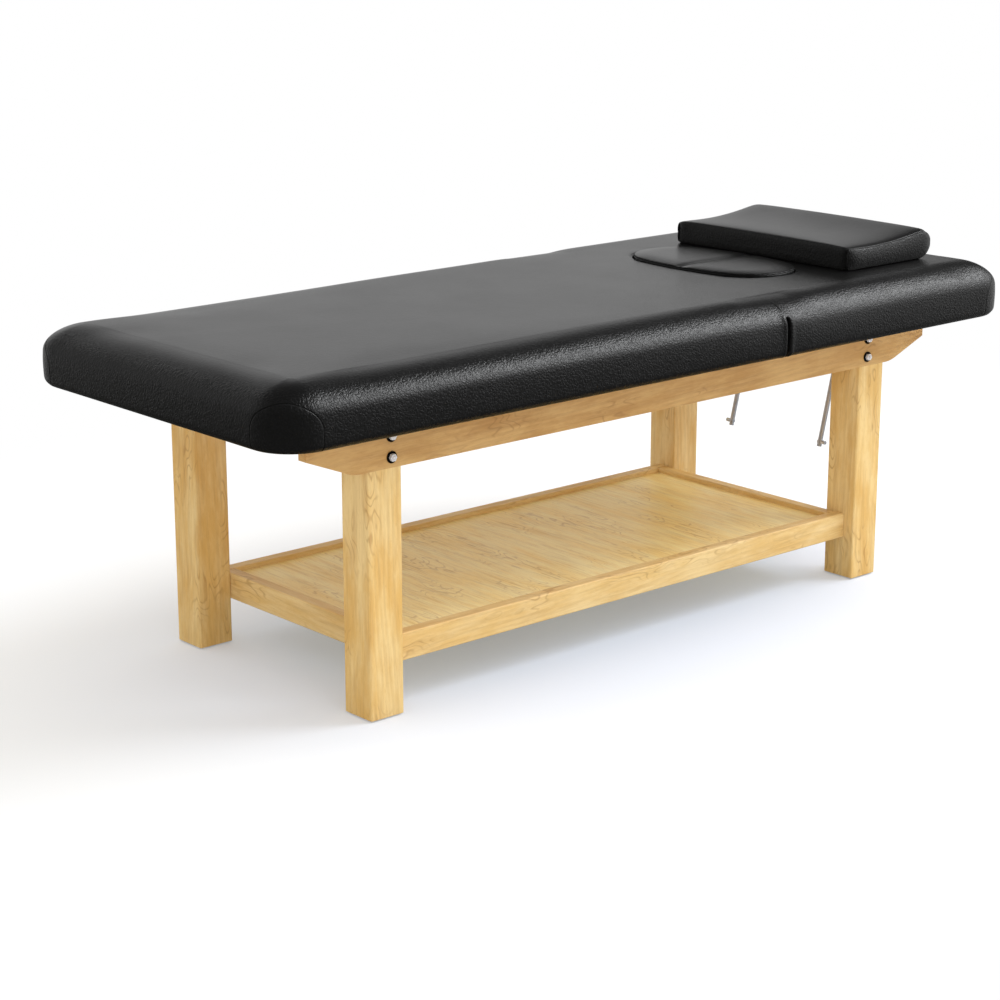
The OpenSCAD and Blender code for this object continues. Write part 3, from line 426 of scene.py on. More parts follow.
# Paler and less metallic than the zinc, so the bolt ends show a painted highlight
dress(metal("bolt_plate_painted_highlight", srgb(236, 234, 236), 0.3, (1500, 1500, 1500), metallic=0.25, blotched=0.1),
      "rail_bolts")
dress(zinc, "rail_inserts", "bearer_screws", "rack_screws", "rack_near", "rack_far",
      "tray_screws", "cleat_screws", "board_clips", "clip_screws", "hinge_leaf_main", "hinge_pins",
      "hinge_screws_main", "hinge_leaf_back", "hinge_screws_back", "ledge_screws", "prop_brackets",
      "bracket_screws")
dress(metal("black_oxide", srgb(26, 24, 26), 0.35, (900, 900, 900)), "rail_washers")


# Backrest prop
# One bent rod, bright-plated and polished, that hangs from its brackets with a peg near
# the end of each leg.
# The rod is bright plate, and its pale bluish diffuse part paints in some of the shine it would mirror
bright_plate_painted_shine = metal("bright_plate_painted_shine", srgb(222, 230, 246), 0.17, (1500, 1500, 60), metallic=0.6,
                     blotched=0.1)
dress(bright_plate_painted_shine, "prop_bail", "prop_pegs")


# Mattress cover
# One smooth black vinyl cover over the foam of both sections. It runs on over the slit, has
# an arched panel sewn into each corner, and is stapled under the boards.
main_low, main_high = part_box("main_pad")
back_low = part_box("backrest_pad")[0]
half_l, half_w, cover_top, cover_base = -main_low.x, main_high.y, main_high.z, main_low.z
slit_foot, slit_head = main_high.x, back_low.x
slit_mid = (slit_foot + slit_head) / 2
slit_top = 0.597
# The upper roll reaches in by corner and falls by drop; the margin is turned under the boards
corner, drop, low_roll = 0.087, 0.048, 0.014
turned_in, margin = 0.025, 0.030
stuffing_room = 0.0016
inner_x, inner_y = half_l - corner, half_w - corner
plug_low, plug_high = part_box("plug_pad")
plug_x = (plug_low.x + plug_high.x) / 2
oval_x, oval_y, end_arc = (plug_high.x - plug_low.x) / 2, plug_high.y, 0.094
end_centre = oval_y - end_arc
side_arc = (oval_x ** 2 + end_centre ** 2 - end_arc ** 2) / (2 * (oval_x - end_arc))
side_centre = side_arc - oval_x


# Nearest point on the face hole's outline, grown outward. Both side arcs are struck from
# beyond the other side, and the end arcs from near the ends.
def oval_edge(x, y, grow):
    sign_x, sign_y = math.copysign(1, x), math.copysign(1, y)
    x, y = abs(x), abs(y)
    if y * side_centre <= end_centre * (x + side_centre):
        centre, reach = (-side_centre, 0.0), side_arc
    else:
        centre, reach = (0.0, end_centre), end_arc
    out_x, out_y = x - centre[0], y - centre[1]
    length = math.hypot(out_x, out_y)
    out_x, out_y = out_x / length, out_y / length
    return sign_x * (centre[0] + out_x * (reach + grow)), sign_y * (centre[1] + out_y * (reach + grow))


# The cover's edge from its stapled margin to the flat top: reach from the inner line, height
edge = [(corner - turned_in - margin, cover_base - 0.0012), (corner - 0.034, cover_base - 0.0012),
        (corner - turned_in, cover_base - 0.0006)]
for angle in np.radians([0, 22, 45, 68, 90]):
    edge.append((corner - low_roll * (1 - math.sin(angle)), cover_base + low_roll * (1 - math.cos(angle))))
edge += [(corner + 0.0006, cover_base + 0.031), (corner + 0.0008, cover_base + 0.043)]
for angle in np.radians([0, 8, 15, 22.024, 29, 36, 44, 53, 61, 68, 74, 79, 83, 86, 88]):
    edge.append((corner * math.cos(angle), cover_top - drop * (1 - math.sin(angle))))
edge.append((0.0, cover_top))
slit_row = next(j for j, (_, z) in enumerate(edge) if abs(z - slit_top) < 0.0003)
first_wall_row = 3


def spread(start, stop, step):
    count = max(1, round(abs(stop - start) / step))
    return list(np.linspace(start, stop, count + 1))


# Grid lines of the top: even ones, closer ones beside the slit, and a block round the hole
grid_step, slit_strip, block_margin = 0.0145, 0.02, (0.034, 0.04)
block_x = (plug_x - oval_x - block_margin[0], plug_x + oval_x + block_margin[0])
block_y = oval_y + block_margin[1]
slit_gaps = (0.0, 0.0012, 0.003, 0.0065, 0.0115)
columns = spread(-inner_x, slit_foot - slit_strip, grid_step)
columns += [slit_foot - g for g in reversed(slit_gaps)] + [slit_mid] + [slit_head + g for g in slit_gaps]
columns += spread(slit_head + slit_strip, block_x[0], grid_step) + spread(*block_x, grid_step)[1:]
columns += spread(block_x[1], inner_x, grid_step)[1:]
rows = spread(-inner_y, -block_y, grid_step) + spread(-block_y, block_y, grid_step)[1:]
rows += spread(block_y, inner_y, grid_step)[1:]
columns, rows = [float(c) for c in columns], [float(r) for r in rows]

stations = [("near", i, (x, -inner_y), (0, -1)) for i, x in enumerate(columns)]
corner_steps = 9


def corner_stations(centre, start):
    return [("corner", None, centre, (math.cos(start + math.pi / 2 * k / corner_steps),
                                      math.sin(start + math.pi / 2 * k / corner_steps)))
            for k in range(1, corner_steps)]


stations += corner_stations((inner_x, -inner_y), -math.pi / 2)
stations += [("head", i, (inner_x, y), (1, 0)) for i, y in enumerate(rows)]
stations += corner_stations((inner_x, inner_y), 0)
stations += [("far", i, (x, inner_y), (0, 1)) for i, x in reversed(list(enumerate(columns)))]
stations += corner_stations((-inner_x, inner_y), math.pi / 2)
stations += [("foot", i, (-inner_x, y), (-1, 0)) for i, y in reversed(list(enumerate(rows)))]
stations += corner_stations((-inner_x, -inner_y), math.pi)

verts, faces, held = [], [], {}


def vert(x, y, z, hold=0.0):
    verts.append((x, y, z))
    held[len(verts) - 1] = hold
    return len(verts) - 1


def without_repeats(quad):
    return [q for n, q in enumerate(quad) if q not in quad[:n]]


def bridge(rings, faces):
    for a, b in zip(rings, rings[1:]):
        for k in range(len(a)):
            n = (k + 1) % len(a)
            faces.append([a[k], b[k], b[n], a[n]])


# The flat top, with an oval opening for the plug
top = {}
for i, x in enumerate(columns):
    for j, y in enumerate(rows):
        inside = block_x[0] + 1e-5 < x < block_x[1] - 1e-5 and abs(y) < block_y - 1e-5
        if not inside:
            top[i, j] = vert(x, y, cover_top)
for i in range(len(columns) - 1):
    for j in range(len(rows) - 1):
        quad = [(i, j), (i + 1, j), (i + 1, j + 1), (i, j + 1)]
        if all(q in top for q in quad):
            mid_x, mid_y = (columns[i] + columns[i + 1]) / 2, (rows[j] + rows[j + 1]) / 2
            if not (block_x[0] < mid_x < block_x[1] and abs(mid_y) < block_y):
                faces.append([top[q] for q in quad])
i0, i1 = (min(range(len(columns)), key=lambda i: abs(columns[i] - b)) for b in block_x)
j0, j1 = (min(range(len(rows)), key=lambda j: abs(rows[j] - b)) for b in (-block_y, block_y))
around = [(i, j0) for i in range(i0, i1)] + [(i1, j) for j in range(j0, j1)]
around += [(i, j1) for i in range(i1, i0, -1)] + [(i0, j) for j in range(j1, j0, -1)]
hole_lip, hole_gap = 0.0042, 0.0015
hole_rings = []
for distance in (0.0, 0.22, 0.42, 0.6, 0.76, 0.88, 0.96, 1.0):
    ring = []
    for key in around:
        px, py = columns[key[0]], rows[key[1]]
        sx, sy = oval_edge(px - plug_x, py, hole_gap + hole_lip)
        sx += plug_x
        if distance == 0.0:
            ring.append(top[key])
        else:
            ring.append(vert(px + (sx - px) * distance, py + (sy - py) * distance, cover_top))
    hole_rings.append(ring)
hole_section = [(math.sin(a), math.cos(a)) for a in np.radians([22, 45, 68, 90])]
hole_section += [(1, -fall) for fall in (0.5, 3, 8, 14, 20)]
for r, z in hole_section:
    ring = []
    for key in around:
        px, py = columns[key[0]], rows[key[1]]
        sx, sy = oval_edge(px - plug_x, py, hole_gap + hole_lip * (1 - r))
        height = cover_top - hole_lip * (1 - z)
        ring.append(vert(plug_x + sx, sy, max(height, cover_base + 0.0156), 1.0))
    hole_rings.append(ring)
bridge(hole_rings, faces)

# The rolled edge all round, open below the slit's top where the sections part. Beside the slit
# its lip is tucked in, by the distance from the slit.
lip = {0.0: 0.0036, 0.0012: 0.0014, 0.003: 0.0004}
mid_tuck, stapled_rows, pinned_gap = 0.0022, 4, 0.0066
shell = []
for side, index, centre, normal in stations:
    column = []
    x = centre[0]
    gap = min(abs(x - slit_foot), abs(x - slit_head)) if side in ("near", "far") else 1
    tuck = next((d for g, d in lip.items() if abs(gap - g) < 1e-6), 0.0)
    at_mid = side in ("near", "far") and abs(x - slit_mid) < 1e-6
    for j, (reach, height) in enumerate(edge):
        if j == len(edge) - 1:
            grid_i = {"near": index, "far": index, "head": len(columns) - 1, "foot": 0}.get(side)
            grid_j = {"near": 0, "far": len(rows) - 1, "head": index, "foot": index}.get(side)
            if side == "corner":
                grid_i = 0 if centre[0] < 0 else len(columns) - 1
                grid_j = 0 if centre[1] < 0 else len(rows) - 1
            column.append(top[grid_i, grid_j])
            continue
        if at_mid and j < slit_row:
            column.append(None)
            continue
        inset = tuck if j < slit_row else tuck * 0.45 if j == slit_row else 0.0
        if at_mid and j == slit_row:
            inset = mid_tuck
        hold = 1.0 if j < stapled_rows or (j <= slit_row and gap < pinned_gap) else 0.0
        column.append(vert(centre[0] + normal[0] * (reach - inset), centre[1] + normal[1] * (reach - inset),
                           height, hold))
    shell.append(column)
for k in range(len(stations)):
    a, b = shell[k], shell[(k + 1) % len(stations)]
    for j in range(len(edge) - 1):
        quad = [a[j], b[j], b[j + 1], a[j + 1]]
        if None in quad:
            continue
        ends = [stations[k], stations[(k + 1) % len(stations)]]
        if all(s[0] == ends[0][0] and s[0] in ("near", "far") for s in ends) and j < slit_row:
            mid = (ends[0][2][0] + ends[1][2][0]) / 2
            if slit_foot < mid < slit_head:
                continue
        faces.append(without_repeats(quad))

# The vinyl that lines the slit, up to the fold under the top
lining_z = [0.606, 0.613, cover_top - 0.0045]
lining_t = list(np.linspace(-1, 1, 43))
lining_inside = 0.0032


def shell_at(side, x):
    return next(shell[k] for k, s in enumerate(stations) if s[0] == side and abs(s[2][0] - x) < 1e-6)


def skin_reach(z):
    drop_share = (cover_top - z) / drop
    return corner * math.sqrt(max(0, 1 - (1 - drop_share) ** 2)) - lining_inside


linings = {}
for x, inward in ((slit_foot, -1), (slit_mid, 0), (slit_head, 1)):
    near, far = shell_at("near", x), shell_at("far", x)
    lining = []
    heights = [edge[j][1] for j in range(first_wall_row, slit_row)] + [slit_top + 0.0012] + lining_z
    for j, z in enumerate(heights):
        outer = j < slit_row - first_wall_row
        if outer and inward == 0:
            lining.append(None)
            continue
        y_end = None if outer else inner_y + skin_reach(z)
        row = []
        for t in lining_t:
            if outer and abs(abs(t) - 1) < 1e-9:
                row.append((near if t < 0 else far)[first_wall_row + j])
            else:
                y = t * (abs(verts[near[first_wall_row + j]][1]) if outer else y_end)
                if inward == 0 and j < len(heights) - 1 and abs(t) < 1 - 1e-9:
                    row.append(None)
                else:
                    row.append(vert(x + inward * 0.0006 * (1 - t * t) ** 0.3, y, z, 1.0))
        lining.append(row)
    linings[x] = lining
for x, flip in ((slit_foot, False), (slit_head, True)):
    for a, b in zip(linings[x], linings[x][1:]):
        for n in range(len(lining_t) - 1):
            quad = [a[n], a[n + 1], b[n + 1], b[n]]
            faces.append(quad[::-1] if flip else quad)
foot_lining, mid_lining, head_lining = linings[slit_foot], linings[slit_mid], linings[slit_head]
for a, b in ((foot_lining[-1], mid_lining[-1]), (mid_lining[-1], head_lining[-1])):
    for n in range(len(lining_t) - 1):
        faces.append([a[n + 1], b[n + 1], b[n], a[n]])
fold = slit_row - first_wall_row
for end, side in ((0, "near"), (-1, "far")):
    for a, b in ((foot_lining, mid_lining), (mid_lining, head_lining)):
        for j in range(fold, len(a) - 1):
            faces.append([a[j][end], b[j][end], b[j + 1][end], a[j + 1][end]])
    foot_edge, mid_edge, head_edge = (shell_at(side, x) for x in (slit_foot, slit_mid, slit_head))
    faces.append([foot_edge[slit_row], mid_edge[slit_row], mid_lining[fold][end], foot_lining[fold][end]])
    faces.append([mid_edge[slit_row], head_edge[slit_row], head_lining[fold][end], mid_lining[fold][end]])
    faces.append([foot_edge[slit_row - 1], foot_edge[slit_row], foot_lining[fold][end]])
    faces.append([head_edge[slit_row - 1], head_edge[slit_row], head_lining[fold][end]])
cover = mesh_object("mattress_cover", verts, faces)


def tidy_normals(piece):
    work = bmesh.new()
    work.from_mesh(piece.data)
    bmesh.ops.recalc_face_normals(work, faces=work.faces)
    work.to_mesh(piece.data)
    work.free()


tidy_normals(cover)


def positions(piece):
    found = np.zeros(len(piece.data.vertices) * 3)
    piece.data.vertices.foreach_get("co", found)
    return found.reshape(-1, 3)


def place_points(piece, points):
    piece.data.vertices.foreach_set("co", np.ascontiguousarray(points, float).ravel())
    piece.data.update()


def apply_all(piece):
    bpy.context.view_layer.update()
    made = bpy.data.meshes.new_from_object(piece.evaluated_get(bpy.context.evaluated_depsgraph_get()))
    piece.modifiers.clear()
    piece.data = made


# Draws the free points in a little, to leave room for the stuffing to fill the cover out
def slacken(piece, hold, room):
    normals = np.zeros(len(piece.data.vertices) * 3)
    piece.data.vertex_normals.foreach_get("vector", normals)
    free = 1 - np.minimum(1, np.array(hold))
    place_points(piece, positions(piece) - normals.reshape(-1, 3) * free[:, None] * room)


# Lets the cover swell like stuffed cloth. Points are held by their weight, none moves further
# than the cap, and the movement is evened out over the mesh.
def swell(piece, hold, cap, pressure=4.0, frames=20, stiffness=15.0, pull=1.0, rounds=6):
    group = piece.vertex_groups.new(name="held")
    for index, weight in enumerate(hold):
        if weight > 0:
            group.add([index], float(weight), "REPLACE")
    cloth = piece.modifiers.new("stuffing", "CLOTH")
    settings = cloth.settings
    settings.quality = 6
    settings.mass = 0.3
    settings.tension_stiffness = settings.compression_stiffness = stiffness
    settings.bending_stiffness = 2.0
    settings.use_pressure = True
    settings.uniform_pressure_force = pressure
    settings.vertex_group_mass = "held"
    settings.pin_stiffness = pull
    settings.effector_weights.gravity = 0
    cloth.collision_settings.use_collision = False
    cloth.point_cache.frame_start, cloth.point_cache.frame_end = 1, frames
    scene = bpy.context.scene
    for step in range(1, frames + 1):
        scene.frame_set(step)
    before = positions(piece)
    evaluated = piece.evaluated_get(bpy.context.evaluated_depsgraph_get())
    after = np.zeros(len(before) * 3)
    evaluated.data.vertices.foreach_get("co", after)
    moved = after.reshape(-1, 3) - before
    size = np.linalg.norm(moved, axis=1)
    moved *= np.minimum(1, cap / np.maximum(size, 1e-9))[:, None]
    pairs = np.array([list(e.vertices) for e in piece.data.edges])
    links = np.bincount(pairs.ravel(), minlength=len(before))[:, None]
    free = 1 - np.minimum(1, np.array(hold))[:, None]
    for _ in range(rounds):
        total = np.zeros_like(moved)
        np.add.at(total, pairs[:, 0], moved[pairs[:, 1]])
        np.add.at(total, pairs[:, 1], moved[pairs[:, 0]])
        moved = free * (moved + total / links) / 2
    piece.modifiers.clear()
    scene.frame_set(1)
    place_points(piece, before + moved)
    print(piece.name, "swelled by up to", round(float(size.max()) * 1000, 1), "mm")


def subdivide(piece, levels):
    smoother = piece.modifiers.new("smoother", "SUBSURF")
    smoother.levels = smoother.render_levels = levels
    smoother.boundary_smooth = "PRESERVE_CORNERS"
    apply_all(piece)
    piece.data.polygons.foreach_set("use_smooth", [True] * len(piece.data.polygons))


# The strips beside the slit fill out as far as the ones next to them, but for a dimple over
# the slit's top
slit_calm, dimple_half = 0.056, 0.022


def even_out(piece, before):
    points = positions(piece)
    moved = points - before
    narrow = [i for i, x in enumerate(columns) if abs(x - slit_mid) < slit_calm]
    first, last = narrow[0] - 1, narrow[-1] + 1
    lines = [([top[i, j] for i in range(first, last + 1)], 1.0) for j in range(len(rows))]
    for side in ("near", "far"):
        strips = [shell_at(side, columns[i]) for i in range(first, last + 1)]
        for j in range(slit_row + 1, len(edge) - 1):
            lines.append(([strip[j] for strip in strips], min(1.0, (j - slit_row) / 3)))
    for line, amount in lines:
        a, b = line[0], line[-1]
        for v in line[1:-1]:
            share = (before[v][0] - before[a][0]) / (before[b][0] - before[a][0])
            beside = max(0.0, 1 - ((before[v][0] - slit_mid) / dimple_half) ** 2) ** 2
            moved[v] = (moved[a] * (1 - share) + moved[b] * share) * (1 - (1 - amount) * beside)
    place_points(piece, before + moved)


cover_hold = [held[i] for i in range(len(verts))]
cover_cap = 0.0034
drawn = positions(cover)
slacken(cover, cover_hold, stuffing_room)
swell(cover, cover_hold, cover_cap)
even_out(cover, drawn)
subdivide(cover, 2)


# Vinyl with a pebbled grain, finer wrinkles inside it, painted shade in the grain's valleys, and a soft
# gloss. The seam values come from each piece's own mesh: the distance to the nearest stitched line.
vinyl_grain = bpy.data.node_groups.new("vinyl_grain", "ShaderNodeTree")
entry, leave = group_sockets(vinyl_grain, [("Vector", "NodeSocketVector", None),
                                           ("Pebble Scale", "NodeSocketFloat", 170.0)],
                             [("Height", "NodeSocketFloat"), ("Valley Shade", "NodeSocketFloat"),
                              ("Wear", "NodeSocketFloat")])
place = entry.outputs["Vector"]
bend = add(vinyl_grain, "ShaderNodeTexNoise", Vector=place, Scale=140.0, Detail=2.0).outputs["Color"]
bend = add(vinyl_grain, "ShaderNodeVectorMath", {"operation": "SCALE"}, Vector=bend)
bend.inputs["Scale"].default_value = 0.007
bent = add(vinyl_grain, "ShaderNodeVectorMath", {"operation": "ADD"}, Vector=place)
vinyl_grain.links.new(bend.outputs["Vector"], bent.inputs[1])
cells = add(vinyl_grain, "ShaderNodeTexVoronoi", {"feature": "DISTANCE_TO_EDGE"},
            Vector=bent.outputs["Vector"])
vinyl_grain.links.new(entry.outputs["Pebble Scale"], cells.inputs["Scale"])
pebbles = remap(vinyl_grain, cells.outputs["Distance"], 0.0, 0.3)
wrinkles = noise(vinyl_grain, place, 900.0, 3.0, 0.6)
swells = noise(vinyl_grain, place, 130.0, 3.0, 0.6)
height = math_node(vinyl_grain, "ADD", math_node(vinyl_grain, "MULTIPLY", pebbles, 0.7),
                   math_node(vinyl_grain, "MULTIPLY", wrinkles, 0.25))
height = math_node(vinyl_grain, "ADD", height, math_node(vinyl_grain, "MULTIPLY", swells, 0.9))
vinyl_grain.links.new(height, leave.inputs["Height"])
vinyl_grain.links.new(remap(vinyl_grain, cells.outputs["Distance"], 0.02, 0.12, 1.0, 0.0),
                      leave.inputs["Valley Shade"])
vinyl_grain.links.new(noise(vinyl_grain, place, 7.0, 4.0, 0.6), leave.inputs["Wear"])


def vinyl(name, colour, roughness, grain=0.52):
    made = new_material(name)
    tree = made.node_tree
    place = add(tree, "ShaderNodeTexCoord").outputs["Object"]
    grain_node = add(tree, "ShaderNodeGroup", {"node_tree": vinyl_grain}, Vector=place)
    seam = add(tree, "ShaderNodeAttribute", {"attribute_name": "seam"}).outputs["Fac"]
    groove = remap(tree, math_node(tree, "ABSOLUTE", seam), 0.0004, 0.0022, 1.0, 0.0)
    worn = tuple(c * 1.25 for c in colour[:3]) + (1,)
    shade = layered(tree, colour, worn, grain_node.outputs["Wear"], 0.6)
    # Painted shade: the grain's valleys are darkened
    shade = layered(tree, shade, (0.002, 0.002, 0.002, 1), grain_node.outputs["Valley Shade"], 0.6)
    shade = layered(tree, shade, (0.001, 0.001, 0.001, 1), groove, 0.95)
    height = math_node(tree, "SUBTRACT", grain_node.outputs["Height"],
                       math_node(tree, "MULTIPLY", groove, 3.0))
    facing = add(tree, "ShaderNodeSeparateXYZ", Vector=add(tree, "ShaderNodeTexCoord").outputs["Normal"])
    upward = math_node(tree, "ABSOLUTE", facing.outputs["Z"])
    stretch = remap(tree, upward, 0.82, 0.99, grain, grain * 0.3)
    bump = add(tree, "ShaderNodeBump", Height=height, Strength=stretch, Distance=0.001)
    gloss = remap(tree, grain_node.outputs["Wear"], 0.25, 0.75, roughness - 0.01, roughness + 0.02)
    gloss = math_node(tree, "MULTIPLY", gloss, remap(tree, upward, 0.6, 0.95, 1.0, 0.74))
    gloss = math_node(tree, "ADD", gloss, math_node(tree, "MULTIPLY", groove, 0.4))
    shader = add(tree, "ShaderNodeBsdfPrincipled", Base_Color=shade, Roughness=gloss,
                 Normal=bump.outputs["Normal"], IOR=1.5)
    add(tree, "ShaderNodeOutputMaterial", Surface=shader.outputs[0])
    return made


black_vinyl = vinyl("black_vinyl", srgb(11, 11, 12), 0.39)


def set_seam(piece, distance):
    attribute = piece.data.attributes.new("seam", "FLOAT", "POINT")
    attribute.data.foreach_set("value", distance.astype(np.float32))


# Distance to the arched seam of the nearest corner panel: up each face beside the corner
# and over in a round arch
def corner_seam(points):
    ax, ay = np.abs(points[:, 0]) - inner_x, np.abs(points[:, 1]) - inner_y
    turn = np.arctan2(np.maximum(ay, -0.2), np.maximum(ax, -0.2))
    unrolled = np.where(ax < 0, corner * math.pi / 2 - ax, np.where(ay < 0, ay, corner * turn))
    across = unrolled - corner * math.pi / 4
    spring, arch_top = cover_base + 0.034, cover_base + 0.082
    half = corner * math.pi / 4 + 0.001
    above = np.maximum(points[:, 2] - spring, 0) * half / (arch_top - spring)
    distance = np.hypot(across, above) - half
    panel_reach, no_seam = 0.06, 0.05
    far_away = (ax < -panel_reach) | (ay < -panel_reach)
    return np.where(far_away, no_seam, distance)


set_seam(cover, corner_seam(positions(cover)))
cover.data.materials.append(black_vinyl)
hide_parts("main_pad", "backrest_pad", "cover_strip")
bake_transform(cover)


# Face plug
# An oval of foam on its own board, covered in two vinyl halves that are sewn together along
# the table, with a narrow band sewn round the side. It stands a little proud of the cover.
def oval_reach(turn):
    ux, uy = abs(math.cos(turn)), abs(math.sin(turn))
    reach = -side_centre * ux + math.sqrt(side_arc ** 2 - (side_centre * uy) ** 2)
    if reach * uy > end_centre * side_arc / (side_arc - end_arc):
        reach = end_centre * uy + math.sqrt(end_arc ** 2 - (end_centre * ux) ** 2)
    return reach


seam_shift, plug_roll, plug_crown = 0.010, 0.003, 0.0026
dip_depth, dip_half, plug_cap = 0.0032, 0.008, 0.0022
across, down = 18, 28
plug_top = plug_high.z + 0.0006
plug_deep = plug_top - plug_low.z
grid, plug_verts, plug_faces, plug_hold, plug_seam = {}, [], [], [], []
for i in range(across + 1):
    for j in range(down + 1):
        u, v = 2 * i / across - 1, 2 * j / down - 1
        shifted = v - seam_shift / oval_y * (1 - v * v)
        px, py = u * math.sqrt(1 - shifted ** 2 / 2), shifted * math.sqrt(1 - u * u / 2)
        share = min(1.0, math.hypot(px, py))
        px, py = px * (oval_x - plug_roll), py * (oval_y - plug_roll)
        if share > 1e-6:
            turn = math.atan2(py, px)
            round_reach = 1 / math.hypot(math.cos(turn) / (oval_x - plug_roll),
                                         math.sin(turn) / (oval_y - plug_roll))
            stretch = 1 + ((oval_reach(turn) - plug_roll) / round_reach - 1) * share
            px, py = px * stretch, py * stretch
        seam_away = abs(py + seam_shift)
        dip = dip_depth * math.exp(-(seam_away / dip_half) ** 2)
        grid[i, j] = len(plug_verts)
        plug_verts.append((plug_x + px, py, plug_top + plug_crown * (1 - share ** 6) - dip))
        on_seam = 2 * j == down
        plug_hold.append(0.8 if on_seam else 0.0)
        plug_seam.append(0.0 if on_seam else math.copysign(max(seam_away, 0.002), v))
for i in range(across):
    for j in range(down):
        plug_faces.append([grid[i, j], grid[i + 1, j], grid[i + 1, j + 1], grid[i, j + 1]])
rim = [(i, 0) for i in range(across)] + [(across, j) for j in range(down)]
rim += [(i, down) for i in range(across, 0, -1)] + [(0, j) for j in range(down, 0, -1)]
rings = [[grid[key] for key in rim]]
# Each ring of the band: inset, fall, hold and distance from the nearest stitches
band = [(0.0012, 0.0006, 0.0, 0.003), (0.0003, 0.002, 0.3, 0.0), (0.0004, 0.004, 0.3, 0.002),
        (0.0, 0.0075, 0.3, 0.004), (0.0002, 0.016, 0.3, 0.01), (0.0002, 0.03, 0.3, 0.02),
        (0.0004, 0.055, 0.0, 0.04), (0.0004, 0.08, 0.5, 0.06), (0.0008, plug_deep - 0.0012, 1, 0.1),
        (0.004, plug_deep - 0.0004, 1, 0.1), (0.02, plug_deep - 0.0004, 1, 0.1)]
for inset, fall, hold, seam_away in band:
    ring = []
    for key in rim:
        x, y, _ = plug_verts[grid[key]]
        turn = math.atan2(y, x - plug_x)
        reach = oval_reach(turn) - inset
        ring.append(len(plug_verts))
        plug_verts.append((plug_x + reach * math.cos(turn), reach * math.sin(turn), plug_top - fall))
        plug_hold.append(hold)
        plug_seam.append(seam_away)
    rings.append(ring)
bridge(rings, plug_faces)
plug_faces.append(rings[-1])
plug = mesh_object("face_plug_cushion", plug_verts, plug_faces)
tidy_normals(plug)
swell(plug, plug_hold, plug_cap)
set_seam(plug, np.array(plug_seam))
subdivide(plug, 2)
plug.data.materials.append(black_vinyl)
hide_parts("plug_pad")
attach(plug, "face_plug")


# Head pillow
# A loose foam wedge with a hollowed top and a full, rounded back. One strip of vinyl wraps
# it, and a panel is sewn into each end.
pillow_low, pillow_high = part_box("pillow")
pillow_l, pillow_w = pillow_high.x - pillow_low.x, pillow_high.y - pillow_low.y
pillow_mid_y = (pillow_low.y + pillow_high.y) / 2
front_h, back_h, hollow = 0.0485, 0.0665, 0.0062
end_bulge, crown_rise, waist_deep, pillow_cap = 0.0065, 0.004, 0.0022, 0.004
seam_half = pillow_w / 2 - end_bulge


def pillow_height(u):
    return front_h + (back_h - front_h) * u ** 1.6 - hollow * math.sin(math.pi * u)


# Points of the wrap as shares of the pillow's length and height, from the front to the back
over = [(0.0, 0.5), (-0.002, 0.68), (-0.001, 0.84), (0.003, 0.94), (0.012, 0.985), (0.028, 1.0)]
over += [(u, 1.0) for u in np.linspace(0.075, 0.86, 15)]
over += [(0.9 + 0.1 * math.sin(a), 0.5 + 0.5 * math.cos(a))
         for a in np.radians([-4, 14, 30, 46, 62, 76, 90])]
under = [(0.0, 0.5), (0.0, 0.3), (0.002, 0.14), (0.006, 0.05), (0.015, 0.008), (0.03, 0.0)]
under += [(u, 0.0) for u in np.linspace(0.075, 0.82, 15)]
under += [(0.88 + 0.12 * math.sin(a), 0.5 - 0.5 * math.cos(a))
          for a in np.radians([-6, 14, 30, 46, 62, 76, 90])]
stations = [-1, -0.985, -0.955] + list(np.linspace(-0.9, 0.9, 25)) + [0.955, 0.985, 1]
pillow_verts, pillow_faces, pillow_hold, pillow_seam = [], [], [], []


def pillow_vert(u, v, y, seam_away, hold):
    crown = crown_rise * (1 - (y / seam_half) ** 2) * v * (1 - (2 * u - 1) ** 4)
    waist = waist_deep * (1 - (y / seam_half) ** 2) * (1 - u)
    pillow_verts.append((pillow_low.x + 0.001 + waist + u * (pillow_l - 0.002 - waist), pillow_mid_y + y,
                         pillow_low.z + 0.0008 + v * (pillow_height(min(1, max(0, u))) - 0.002) + crown))
    pillow_hold.append(hold)
    pillow_seam.append(seam_away)
    return len(pillow_verts) - 1


